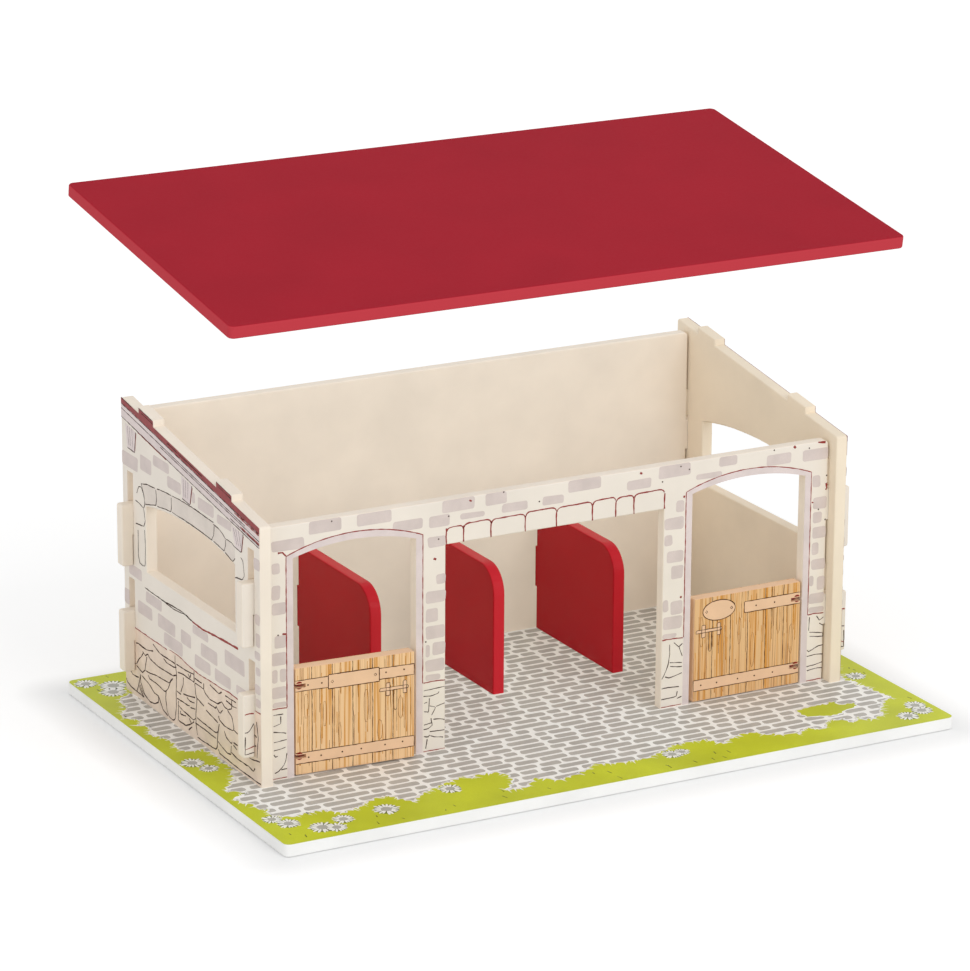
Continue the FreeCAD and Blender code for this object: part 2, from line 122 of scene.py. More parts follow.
class StableSizes(bpy.types.PropertyGroup):
    """Sizes of the print"""

    ink: length("Ink thickness", "Thickness of one printed layer", 0.05)
    cobble_pitch: length("Cobble pitch", "Distance between the rows of cobbles", 7.9)
    cobble_height: length("Cobble height", "Height of one cobble", 5.5)
    cobble_joint: length("Cobble joint", "Gap between cobbles in a row", 2.4)
    brick_round: length("Brick rounding", "Corner radius of the printed bricks", 1.6)
    cobble_round: length("Cobble rounding", "Corner radius of the printed cobbles", 2.0)


def sizes():
    return bpy.context.scene.stable_sizes


def colours():
    return bpy.context.scene.stable_colours


# Nodes: one call adds a node, and the short ones below return its output.

def add(tree, kind, inputs=None, **settings):
    made = tree.nodes.new(kind)
    for name, value in settings.items():
        setattr(made, name, value)
    for key, value in (inputs or {}).items():
        if isinstance(value, bpy.types.NodeSocket):
            tree.links.new(value, made.inputs[key])
        else:
            made.inputs[key].default_value = value
    return made


def calc(tree, operation, first, second=0.0):
    return add(tree, "ShaderNodeMath", {0: first, 1: second}, operation=operation).outputs[0]


def vector(tree, operation, first, second=(0, 0, 0)):
    made = add(tree, "ShaderNodeVectorMath", {0: first, 1: second}, operation=operation)
    return made.outputs["Value" if operation in ("DOT_PRODUCT", "LENGTH") else "Vector"]


def remap(tree, value, low, high, start=0.0, end=1.0):
    """A value between low and high, turned into one between start and end."""
    return add(tree, "ShaderNodeMapRange", {
        "Value": value, "From Min": low, "From Max": high, "To Min": start,
        "To Max": end}).outputs[0]


def noise(tree, place, grain, detail):
    """Noise with a grain in millimetres."""
    return add(tree, "ShaderNodeTexNoise", {
        "Vector": place, "Scale": 1 / (grain * MM), "Detail": detail}).outputs[0]


def streaks(tree, place, grain, detail):
    """Noise stretched to a grain of its own along each axis, in millimetres."""
    spread = add(tree, "ShaderNodeMapping", {
        "Vector": place, "Scale": tuple(1 / (g * MM) for g in grain)})
    return add(tree, "ShaderNodeTexNoise", {
        "Vector": spread.outputs[0], "Scale": 1.0, "Detail": detail}).outputs[0]


def blend(tree, share, low, high):
    """One colour turned into another, each a tone or a socket."""
    return add(tree, "ShaderNodeMix", {0: share, 6: low, 7: high}, data_type="RGBA").outputs[2]


def rgba(tone, factor=1.0):
    return tuple(min(c * factor, 1.0) for c in tone) + (1.0,)


# Meshes and geometry trees.

def closed_mesh(name, parts):
    """Join (mesh, matrix) parts into one mesh of closed shells with outward faces."""
    joined = bmesh.new()
    for part, matrix in parts:
        start = len(joined.verts)
        joined.from_mesh(part)
        joined.verts.ensure_lookup_table()
        bmesh.ops.transform(joined, matrix=matrix, verts=joined.verts[start:])
    bmesh.ops.recalc_face_normals(joined, faces=joined.faces)
    mesh = bpy.data.meshes.new(name)
    joined.to_mesh(mesh)
    joined.free()
    return mesh


def add_piece(name, parts, material, body):
    mesh = closed_mesh(name, parts)
    mesh.materials.append(material)
    piece = bpy.data.objects.new(name, mesh)
    bpy.context.scene.collection.objects.link(piece)
    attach(piece, body)
    return piece


def run_tree(make, source, values):
    """Evaluate a geometry tree on a source mesh and return a plain mesh.

    The tree carries the name of the function that makes it, and is made once.
    """
    tree = bpy.data.node_groups.get(make.__name__) or make()
    carrier = bpy.data.objects.new(tree.name, source)
    bpy.context.scene.collection.objects.link(carrier)
    modifier = carrier.modifiers.new(tree.name, "NODES")
    modifier.node_group = tree
    for item in tree.interface.items_tree:
        if item.in_out == "INPUT" and item.name in values:
            modifier[item.identifier] = values[item.name]
    evaluated = carrier.evaluated_get(bpy.context.evaluated_depsgraph_get())
    mesh = bpy.data.meshes.new_from_object(evaluated)
    carrier.modifiers.remove(modifier)
    bpy.data.objects.remove(carrier)
    return mesh


def new_tree(name, inputs):
    tree = bpy.data.node_groups.new(name, "GeometryNodeTree")
    tree.interface.new_socket("Geometry", in_out="INPUT", socket_type="NodeSocketGeometry")
    for label in inputs:
        tree.interface.new_socket(label, in_out="INPUT", socket_type="NodeSocketFloat")
    tree.interface.new_socket("Material", in_out="INPUT", socket_type="NodeSocketMaterial")
    tree.interface.new_socket("Geometry", in_out="OUTPUT", socket_type="NodeSocketGeometry")
    return tree, add(tree, "NodeGroupInput").outputs


def thicken(tree, sheet, thickness):
    """Turn flat faces into closed plates of the ink's thickness."""
    up = add(tree, "ShaderNodeCombineXYZ", {"Z": thickness})
    top = add(tree, "GeometryNodeExtrudeMesh", {
        "Mesh": sheet, "Offset": up.outputs[0], "Offset Scale": 1.0, "Individual": False})
    under = add(tree, "GeometryNodeFlipFaces", {"Mesh": sheet})
    both = add(tree, "GeometryNodeJoinGeometry")
    tree.links.new(top.outputs["Mesh"], both.inputs[0])
    tree.links.new(under.outputs["Mesh"], both.inputs[0])
    return add(tree, "GeometryNodeMergeByDistance", {
        "Geometry": both.outputs[0], "Distance": 0.002 * MM}).outputs[0]


def close_tree(tree, geometry, material):
    real = add(tree, "GeometryNodeRealizeInstances", {"Geometry": geometry})
    coated = add(tree, "GeometryNodeSetMaterial", {
        "Geometry": real.outputs[0], "Material": material})
    add(tree, "NodeGroupOutput", {"Geometry": coated.outputs[0]})
    return tree


def wobble(tree, curve, amount, scale):
    """Shift a drawn line a little, as a hand would."""
    place = add(tree, "GeometryNodeInputPosition")
    sway = add(tree, "ShaderNodeTexNoise", {
        "Vector": place.outputs[0], "Scale": scale, "Detail": 1.0})
    centred = vector(tree, "SUBTRACT", sway.outputs["Color"], (0.5, 0.5, 0.5))
    flat = vector(tree, "MULTIPLY", centred, (2.0, 2.0, 0.0))
    shift = add(tree, "ShaderNodeVectorMath", {0: flat, "Scale": amount}, operation="SCALE")
    return add(tree, "GeometryNodeSetPosition", {
        "Geometry": curve, "Offset": shift.outputs[0]}).outputs[0]


def own_width(tree):
    return add(tree, "GeometryNodeInputNamedAttribute", {"Name": "width"},
               data_type="FLOAT").outputs[0]


def width_scale(tree):
    """Scale of an instance: its width attribute across, and one upward."""
    radius = own_width(tree)
    return add(tree, "ShaderNodeCombineXYZ", {"X": radius, "Y": radius, "Z": 1.0}).outputs[0]


def tile_tree():
    """Rounded tiles from flat rectangles: bricks and cobbles."""
    tree, given = new_tree("tile_tree", ("Corner Radius", "Wobble", "Ink"))
    loops = add(tree, "GeometryNodeMeshToCurve", {"Mesh": given["Geometry"]})
    rounded = add(tree, "GeometryNodeFilletCurve", {
        "Curve": loops.outputs[0], "Count": 4, "Radius": given["Corner Radius"],
        "Limit Radius": True}, mode="POLY")
    line = wobble(tree, rounded.outputs[0], given["Wobble"], 140.0)
    filled = add(tree, "GeometryNodeFillCurve", {"Curve": line}, mode="NGONS")
    plates = thicken(tree, filled.outputs[0], given["Ink"])
    return close_tree(tree, plates, given["Material"])


def stroke_tree():
    """Drawn ink lines along polylines, as wide as their width attribute."""
    tree, given = new_tree("stroke_tree", ("Step", "Wobble", "Ink"))
    paths = add(tree, "GeometryNodeMeshToCurve", {"Mesh": given["Geometry"]})
    even = add(tree, "GeometryNodeResampleCurve", {
        "Curve": paths.outputs[0], "Length": given["Step"]}, mode="LENGTH")
    line = wobble(tree, even.outputs[0], given["Wobble"], 220.0)
    level = add(tree, "GeometryNodeSetCurveNormal", {"Curve": line}, mode="Z_UP")
    place = add(tree, "GeometryNodeInputPosition")
    swell = add(tree, "ShaderNodeTexNoise", {
        "Vector": place.outputs[0], "Scale": 260.0, "Detail": 0.0})
    press = remap(tree, swell.outputs[0], 0.3, 0.7, 0.6, 1.35)
    pen = calc(tree, "MULTIPLY", own_width(tree), press)
    nib = add(tree, "GeometryNodeCurvePrimitiveLine", {
        "Start": (-0.5, 0.0, 0.0), "End": (0.5, 0.0, 0.0)})
    ribbon = add(tree, "GeometryNodeCurveToMesh", {
        "Curve": level.outputs[0], "Profile Curve": nib.outputs[0], "Scale": pen})
    plates = thicken(tree, ribbon.outputs[0], given["Ink"])
    return close_tree(tree, plates, given["Material"])


def daisy_tree():
    """Daisies: petals turned round each flower's place."""
    petal_count = 17
    tree, given = new_tree("daisy_tree", ("Ink",))

    def chance(low, high, seed):
        return add(tree, "FunctionNodeRandomValue", {2: low, 3: high, "Seed": seed},
                   data_type="FLOAT").outputs[1]

    def turned(angle):
        return add(tree, "ShaderNodeCombineXYZ", {"Z": angle}).outputs[0]

    leaf = add(tree, "GeometryNodeMeshCylinder", {
        "Vertices": 8, "Radius": 1.0, "Depth": given["Ink"]})
    petal = add(tree, "GeometryNodeTransform", {
        "Geometry": leaf.outputs[0], "Translation": (0.66, 0.0, 0.0),
        "Scale": (0.34, 0.1, 1.0)})
    ring = add(tree, "GeometryNodePoints", {"Count": petal_count})
    index = add(tree, "GeometryNodeInputIndex").outputs[0]
    turn = calc(tree, "MULTIPLY", calc(tree, "DIVIDE", index, petal_count), 2 * math.pi)
    angle = calc(tree, "ADD", turn, chance(-0.08, 0.08, 4))
    petals = add(tree, "GeometryNodeInstanceOnPoints", {
        "Points": ring.outputs[0], "Instance": petal.outputs[0], "Rotation": turned(angle),
        "Scale": chance(0.85, 1.05, 9)})
    bed = add(tree, "GeometryNodeInstanceOnPoints", {
        "Points": given["Geometry"], "Instance": petals.outputs[0],
        "Rotation": turned(chance(0.0, 6.0, 2)), "Scale": width_scale(tree)})
    return close_tree(tree, bed.outputs[0], given["Material"])


def dot_tree():
    """Round spots: drawn nail heads, ink specks and the hearts of daisies."""
    tree, given = new_tree("dot_tree", ("Ink",))
    disc = add(tree, "GeometryNodeMeshCylinder", {
        "Vertices": 10, "Radius": 1.0, "Depth": given["Ink"]})
    dots = add(tree, "GeometryNodeInstanceOnPoints", {
        "Points": given["Geometry"], "Instance": disc.outputs[0], "Scale": width_scale(tree)})
    return close_tree(tree, dots.outputs[0], given["Material"])


# Printed layers, from outlines and lines in millimetres.

def plate(x0, x1, y0, y1):
    return [(x0, y0), (x1, y0), (x1, y1), (x0, y1)]


def loop(points):
    return list(points) + [points[0]]


def mirrored(points):
    return [(-x, z) for x, z in reversed(points)]


def flat_mesh(points, edges=(), faces=(), widths=()):
    """Mesh of flat points, with a pen's width on each point where they are given."""
    mesh = bpy.data.meshes.new("flat")
    mesh.from_pydata([(x * MM, y * MM, 0) for x, y in points], edges, faces)
    if widths:
        pen = mesh.attributes.new("width", "FLOAT", "POINT")
        pen.data.foreach_set("value", [width * MM for width in widths])
    return mesh


def tiled(rows, corner, sway, ink):
    """Rounded tiles on (x0, x1, y0, y1) rectangles; the corner's radius is in metres."""
    points = [point for row in rows for point in plate(*row)]
    faces = [range(i, i + 4) for i in range(0, len(points), 4)]
    return run_tree(tile_tree, flat_mesh(points, faces=faces), {
        "Corner Radius": corner, "Wobble": sway * MM, "Ink": sizes().ink, "Material": ink})


def drawn(lines, width, ink, sway=0.35, step=1.5, layers=1.0):
    """Ink strokes along lines, one pen wide."""
    points, edges = [], []
    for line in lines:
        edges += [(i, i + 1) for i in range(len(points), len(points) + len(line) - 1)]
        points += line
    return run_tree(stroke_tree, flat_mesh(points, edges, widths=[width] * len(points)), {
        "Step": step * MM, "Wobble": sway * MM, "Ink": layers * sizes().ink, "Material": ink})


def dotted(rows, ink, make=dot_tree, layers=1.0):
    """Spots or flowers at (x, y, radius) places."""
    source = flat_mesh([(x, y) for x, y, r in rows], widths=[r for x, y, r in rows])
    return run_tree(make, source, {"Ink": layers * sizes().ink, "Material": ink})


def patches(outlines, layers):
    """Closed flat plates from outlines, as deep as a number of ink layers."""
    mesh = bpy.data.meshes.new("patches")
    points, faces = [], []
    top = layers * sizes().ink
    for outline in outlines:
        first, count = len(points), len(outline)
        points += [(x * MM, y * MM, z) for z in (0, top) for x, y in outline]
        faces.append([first + i for i in reversed(range(count))])
        faces.append([first + count + i for i in range(count)])
        for i in range(count):
            j = (i + 1) % count
            faces.append([first + i, first + j, first + count + j, first + count + i])
    mesh.from_pydata(points, [], faces)
    return mesh


def plane(origin, across, upward):
    """Matrix of a printed face: across and upward lie in it, and the ink rises out of it."""
    across, upward = Vector(across), Vector(upward)
    made = Matrix((across, upward, across.cross(upward))).transposed().to_4x4()
    made.translation = origin
    return made


FRONT = plane((0, FRONT_FACE, 0), (1, 0, 0), (0, 0, 1))
BACK = plane((0, BACK_FACE, 0), (-1, 0, 0), (0, 0, 1))
RIGHT_SIDE = plane((RIGHT_FACE, 0, 0), (0, 1, 0), (0, 0, 1))
LEFT_SIDE = Matrix.Scale(-1, 4, (1, 0, 0)) @ RIGHT_SIDE
GROUND = plane((0, 0, BASE_TOP), (1, 0, 0), (0, 1, 0))


def raised(matrix, layers):
    return matrix @ Matrix.Translation((0, 0, layers * sizes().ink))


def on_gables(parts, layers=0):
    return [(part, raised(side, layers)) for part in parts for side in (LEFT_SIDE, RIGHT_SIDE)]


# Finishes.

def new_material(name):
    """A material with its tree, its place and its facing in the object's own frame."""
    made = bpy.data.materials.new(name)
    made.use_nodes = True
    tree = made.node_tree
    tree.nodes.clear()
    coords = add(tree, "ShaderNodeTexCoord").outputs
    return made, tree, coords["Object"], coords["Normal"]


def finish_material(tree, tint, sheen, shine=0.5, height=None, strength=0.0, depth=0.0):
    """Close a material; height raises a fine relief, as deep as depth in millimetres."""
    inputs = {"Base Color": tint, "Roughness": sheen, "Specular IOR Level": shine}
    if height is not None:
        inputs["Normal"] = add(tree, "ShaderNodeBump", {
            "Height": height, "Strength": strength, "Distance": depth * MM}).outputs[0]
    shader = add(tree, "ShaderNodeBsdfPrincipled", inputs)
    add(tree, "ShaderNodeOutputMaterial", {"Surface": shader.outputs[0]})


def printed_ink(name, tone, blotch=11.0, depth=0.07, shine=0.22):
    """Ink printed on a sealed board: even, with a faint cloudiness and a satin sheen."""
    made, tree, place, _ = new_material(name)
    cloud = remap(tree, noise(tree, place, blotch, 3.0), 0.3, 0.7)
    # Print screen of 0.4 mm, drawn at 0.7 mm so that it shows.
    screen = noise(tree, place, 0.7, 1.0)
    mixed = blend(tree, cloud, rgba(tone, 1 - depth), rgba(tone, 1 + depth))
    fine = remap(tree, screen, 0.3, 0.7, end=0.35)
    grained = blend(tree, fine, mixed, rgba(tone, 1 - depth))
    finish_material(tree, grained, remap(tree, screen, 0, 1, 0.4, 0.52), shine, screen, 0.06, 0.02)
    return made


def painted_board(name, paint, face=None, axis=None):
    """Fibreboard under satin paint: slight brush cloud and fine orange peel.

    The face that points along the axis, where there is one, has the ground of the print.
    """
    made, tree, place, facing = new_material(name)
    cloud = remap(tree, noise(tree, place, 38, 4.0), 0.3, 0.7)
    top = blend(tree, cloud, rgba(paint, 0.95), rgba(paint, 1.03))
    if face is not None:
        outer = calc(tree, "GREATER_THAN", vector(tree, "DOT_PRODUCT", facing, axis), 0.8)
        top = blend(tree, outer, top, blend(tree, cloud, rgba(face, 0.96), rgba(face, 1.03)))
    peel = noise(tree, place, 1.6, 2.0)
    finish_material(tree, top, remap(tree, peel, 0, 1, 0.42, 0.56), 0.3, peel, 0.08, 0.05)
    return made


def red_lacquer(name, tone, edge, axis, rough, shine):
    """Red lacquer sprayed on board: deep even colour and faint orange peel, with a painted
    highlight of paler red on the edges.

    axis is the way that the board's two faces point.
    """
    made, tree, place, facing = new_material(name)
    cloud = remap(tree, noise(tree, place, 60, 4.0), 0.3, 0.7)
    mixed = blend(tree, cloud, rgba(tone, 0.95), rgba(tone, 1.04))
    steep = calc(tree, "ABSOLUTE", vector(tree, "DOT_PRODUCT", facing, axis))
    # Painted highlight: faces that don't point along the axis turn to the paler edge tone.
    edge_highlighted = blend(tree, remap(tree, steep, 0.5, 0.9, 1.0, 0.0), mixed, rgba(edge))
    peel = noise(tree, place, 2.2, 2.0)
    sheen = remap(tree, peel, 0, 1, rough - 0.06, rough + 0.06)
    finish_material(tree, edge_highlighted, sheen, shine, peel, 0.1, 0.06)
    return made


def printed_pine(name, tone, streak_tone, line_tone):
    """Pine planks printed on board: soft orange streaks and fine brown lines along the plank."""
    made, tree, place, _ = new_material(name)
    plank = add(tree, "ShaderNodeAttribute", attribute_name="plank")
    shift = add(tree, "ShaderNodeCombineXYZ", {"Y": plank.outputs["Fac"]})
    own = vector(tree, "ADD", place, shift.outputs[0])
    broad = streaks(tree, own, (1.5, 25, 120), 1.5)
    fine = streaks(tree, own, (0.8, 25, 70), 1.5)
    base = blend(tree, remap(tree, broad, 0.54, 0.68, end=0.95), rgba(tone), rgba(streak_tone))
    lined = blend(tree, remap(tree, fine, 0.57, 0.67, end=0.5), base, rgba(line_tone))
    finish_material(tree, lined, remap(tree, broad, 0, 1, 0.4, 0.52), 0.22, fine, 0.05, 0.02)
    return made


def lacquered_wire(name, tone):
    """Steel wire under dark red lacquer: a hard sheen, rubbed paler along the wire."""
    made, tree, place, _ = new_material(name)
    scratch = streaks(tree, place, (0.3, 0.3, 8), 3.0)
    tint = blend(tree, scratch, rgba(tone, 0.85), rgba(tone, 1.2))
    finish_material(tree, tint, remap(tree, scratch, 0, 1, 0.25, 0.42))
    return made


def coat(node, material):
    for slot in NODES[node].material_slots:
        slot.material = material


# Printed walls: front bricks as (x0, x1, z0, z1), gable bricks as (y0, y1, z0, z1).

FRONT_BRICKS = [
     (-170.4, -148.5, 161.3, 169.2), (-138.2, -114.5, 161.3, 169.2), (-79.8, -57.5, 161.3, 169.2),
    (-50, -35.1, 161.6, 169.2), (8.1, 31.3, 161.6, 169.2), (72.9, 96, 161.3, 169.2),
    (116.9, 130, 162.9, 169.2), (178.8, 197.8, 157.5, 165), (-195.4, -173.5, 153.5, 160.7),
    (-113.8, -93.3, 154, 160.7), (-89, -74.8, 152.9, 160.4), (-67.3, -50.4, 155.4, 159),
    (-38.5, -20.4, 155.4, 161), (-10, 5, 156, 161.6), (50, 67.5, 156.9, 163.1),
    (100, 119, 156.5, 160.2), (152, 170, 158.5, 165.5), (-195.4, -189.8, 139.8, 146.6),
    (-195.4, -189.8, 123.3, 132.5), (-195.4, -185.9, 113.8, 121.4), (-193.8, -185.9, 92.5, 100.4),
    (-195.6, -185.9, 81.6, 89.8), (-195.6, -191.9, 70.4, 79.1), (-190.4, -185.9, 70.4, 79.1),
    (-195.6, -185.9, 60.4, 67.9), (-195.4, -185.9, 54.6, 57.9), (-89.8, -77.5, 140.4, 147.3),
    (-84, -77.4, 116.6, 122.9), (-91, -77.4, 104.8, 112.5), (-91, -82.5, 92.5, 101.4),
    (-91, -78, 81.6, 90), (-91, -88, 70.4, 78), (-86.3, -77.5, 70.8, 79), (-91, -78, 60.4, 68.3),
    (-91, -81, 54.6, 58.5), (85.9, 91.8, 137.5, 145), (77.8, 91.8, 126.6, 134.5),
    (77.8, 83.5, 116.3, 123.3), (79.8, 91.8, 104.8, 112.3), (83, 91.8, 93.8, 102.3),
    (77.5, 81.3, 72.5, 80.4), (83, 91.8, 70, 78.8), (78, 91.8, 60.4, 68.9),
    (77.6, 88, 54.6, 57.8), (186.5, 192.5, 139.5, 147.3), (187.5, 197.8, 124.5, 132.5),
    (187.5, 194.4, 115.4, 122.5), (187.5, 197.8, 104.8, 112.5), (187.5, 192.5, 94, 102),
    (187.5, 197.8, 83.5, 91), (186, 189.4, 72.9, 79.8), (192, 197.8, 70, 78.8),
    (186.3, 197.8, 61, 67.9), (186.3, 197.8, 54.9, 58.5)]
GABLE_BRICKS = [
     (57.9, 81.4, 171, 177.9), (84.3, 101, 162.9, 172.6), (105, 128.6, 159.3, 168.6),
    (40.7, 60.7, 162.6, 170), (20.3, 25, 162.6, 169.3), (-6.4, 16, 160.7, 168.5),
    (-31.4, -11, 159.7, 165.5), (-69.6, -62, 145.7, 152.9), (72, 95.7, 77, 84.3),
    (3.9, 26.4, 77.9, 83.6), (-47.6, -20, 72, 81.7), (86.4, 108, 66.4, 74.6), (52, 77.9, 66, 75),
    (28.9, 43.6, 66, 75), (-9.3, 14.6, 66.7, 75.4), (41.4, 69, 57, 65.4), (1, 23.6, 57, 65),
    (-27.9, -5.3, 57, 65), (-60, -35.7, 58, 64), (121, 128.6, 67, 77), (101.4, 120.7, 88.6, 95.7),
    (-69.6, -63, 111, 118), (-69.6, -64, 97, 106), (-69.6, -62, 89, 94), (-69.6, -63.5, 79, 84),
    (-69.6, -62, 67, 73), (-69.6, -63, 58.5, 64)]

# Ends of the dividers' tabs in the back wall, as (x0, x1, z0, z1).
TAB_X = (-88, 0, 88)
TAB_ENDS = [(x - 4.5, x + 4.5, 36, 65) for x in TAB_X]

# Height of the plinth's red line, of the top of its tan ground and of the foot of the print.
PLINTH, STONE_TOP, FLOOR = 53.8, 54, 8.3
# Half the length of the back wall's print, and how far its stones sit from the middle.
BACK_HALF, BACK_STONES = 196, 98
# Doorways as (x0, x1), with the springing and crown of their arches and the width of the band.
DOOR_JAMBS = ((-181.0, -97.8), (97.8, 181.0))
SPRING, CROWN, BAND = 148.0, 154.1, 4.7
# The gable: its printed front and back edge and middle in y, and the line of its sloping top.
GABLE_FRONT, GABLE_BACK, GABLE_MIDDLE = -69.6, 128.6, 29.5
SLOPE_START, SLOPE_RUN, SLOPE_LOW, SLOPE_HIGH = -70.0, 199.0, 173.2, 203.2
# Drawn roof tabs on the slope, by the y of their middles and half their length.
ROOF_TABS, ROOF_TAB_HALF = (-21.0, 91.5), 10.6

# Stones over the centre opening: their ends in x and their tops in z.
LINTEL_FOOT = 141.2
LINTEL_X = (-77, -65, -46, -22, 0, 25.6, 42.3, 55.3, 77.4)
LINTEL_TOP = (151.6, 152.6, 152.4, 153.4, 153.2, 153.9, 153.4, 154.0)
# Piers between the openings and the hooks at each end, as (x0, x1).
PIERS = ((-197.6, -185.9), (-92.5, -77.5), (77.5, 92.5), (185.9, 197.6))
HOOKS = ((-214, -208), (208, 214))

# Red marks and dark specks strewn over the front, in (x, z).
RED_MARKS = [
     [(-191, 152.6), (-188, 152.8), (-185.7, 150.2)], [(-61.2, 167), (-59.6, 166.2)],
    [(-85.6, 133.2), (-84, 132.6)], [(-188.4, 101.3), (-186, 100.9)], [(59.2, 167.2),
    (60.8, 166.7)], [(91.2, 147.3), (92.3, 146.8)], [(90, 81.3), (91.2, 80.7)], [(172, 169),
    (173.2, 167.6)], [(190, 168.9), (195.6, 168.5)], [(186.4, 129.6), (187.6, 129.1)],
    [(197, 141), (197.4, 138), (196.6, 136.6)]]
SPECKS = [
    (-191.3, 100.8), (-75.4, 158.9), (-12.3, 159.1), (-82.3, 145.3), (-91, 80.4), (88.8, 167.3),
    (95, 164.5), (75.6, 159.1), (157.3, 168.3), (183.5, 166), (197.1, 146), (191.6, 124.1),
    (196.9, 116.6), (-155, 167.5), (-37.3, 168.8)]

# Stone lines on the front piers and hooks, in (x, z).
PIER_STONES = [
     [(-194.8, 50.1), (-188.3, 49.9)], [(-189.9, 48.6), (-190, 44.1), (-194.8, 42.9)],
    [(-194.9, 39.3), (-189.3, 38.3), (-186.5, 37.3)], [(-194.6, 32.6), (-190.6, 32.9),
    (-185.9, 33.3)], [(-194.7, 27.3), (-190.6, 27.5), (-186.9, 28.4)], [(-194.7, 24.6),
    (-193.1, 22.6), (-192.2, 23.6)], [(-186, 24.3), (-186.9, 19.4), (-188.8, 16.1), (-192, 13.1),
    (-194.2, 12.6)], [(-189.8, 14.2), (-186, 14.5)], [(-92.2, 48.8), (-77.8, 49.3)],
    [(-92.4, 45.2), (-86.9, 44.6), (-82, 45.5), (-81.6, 46.6)], [(-88.6, 43.3), (-88.5, 39.5),
    (-89.1, 34.6)], [(-92.2, 40.5), (-90, 41)], [(-92.2, 35.1), (-89.1, 34.4)], [(-88.2, 38.2),
    (-83.7, 37), (-86.8, 32.1)], [(-83.7, 37.2), (-77.8, 38.5)], [(-85.5, 29.1), (-81.5, 28.9),
    (-77.8, 27.6)], [(-92.2, 26.3), (-86.8, 27.1)], [(-92.4, 23.5), (-89, 23.5), (-86.4, 25.3),
    (-87.3, 30.1)], [(-88.1, 21.4), (-83.7, 21.1), (-77.8, 20.9)], [(-87.7, 18.8), (-85, 17.5),
    (-78.8, 16.2)], [(-92.1, 18.8), (-89.5, 17.9), (-88.1, 19.3)], [(-89.9, 16.7), (-90.8, 10.6)],
    [(83.1, 50.3), (83.2, 43.9), (82.2, 37.1), (80, 31.8), (77.6, 28)], [(86.2, 51.2),
    (89.7, 47.8), (92.4, 49.8)], [(90.1, 47.4), (91.4, 44), (92.4, 41.3)], [(83.4, 38.3),
    (92.3, 37)], [(83.8, 35.7), (88.1, 34.8), (92.3, 34.3)], [(80.1, 29.3), (82.8, 28.1),
    (87.4, 28.8), (92.4, 30.1)], [(77.6, 21.4), (82.9, 21.7), (90.3, 21.1)], [(77.6, 14.3),
    (88.5, 14.6), (89.2, 18.2)], [(89.3, 13.2), (92.4, 14.1)], [(192.5, 52.1), (194.8, 48.9),
    (197.8, 50.6)], [(194.6, 47), (196.8, 45.5), (197.8, 45)], [(187.2, 52.1), (186.8, 43.1)],
    [(187.5, 41.8), (197.6, 40.2), (197.6, 37.6)], [(187.6, 39), (193.9, 38), (197.6, 37.5)],
    [(186, 29.9), (187.3, 28.7), (194.1, 31.5), (197.8, 31.7)], [(186, 25.6), (191.8, 26.1),
    (197.8, 25.6)], [(186, 18.7), (191.4, 18.9), (197.7, 20)], [(186.4, 15.8), (193.4, 16.6),
    (197.8, 16.2)], [(-214, 42), (-211.5, 42.3), (-208, 47.2)], [(-213.8, 39.3), (-214, 28)],
    [(-213.8, 28), (-208, 28.6)], [(214, 42), (211.5, 42.3), (208, 47.2)], [(213.8, 39.3),
    (214, 28)], [(213.8, 28), (208, 28.6)]]

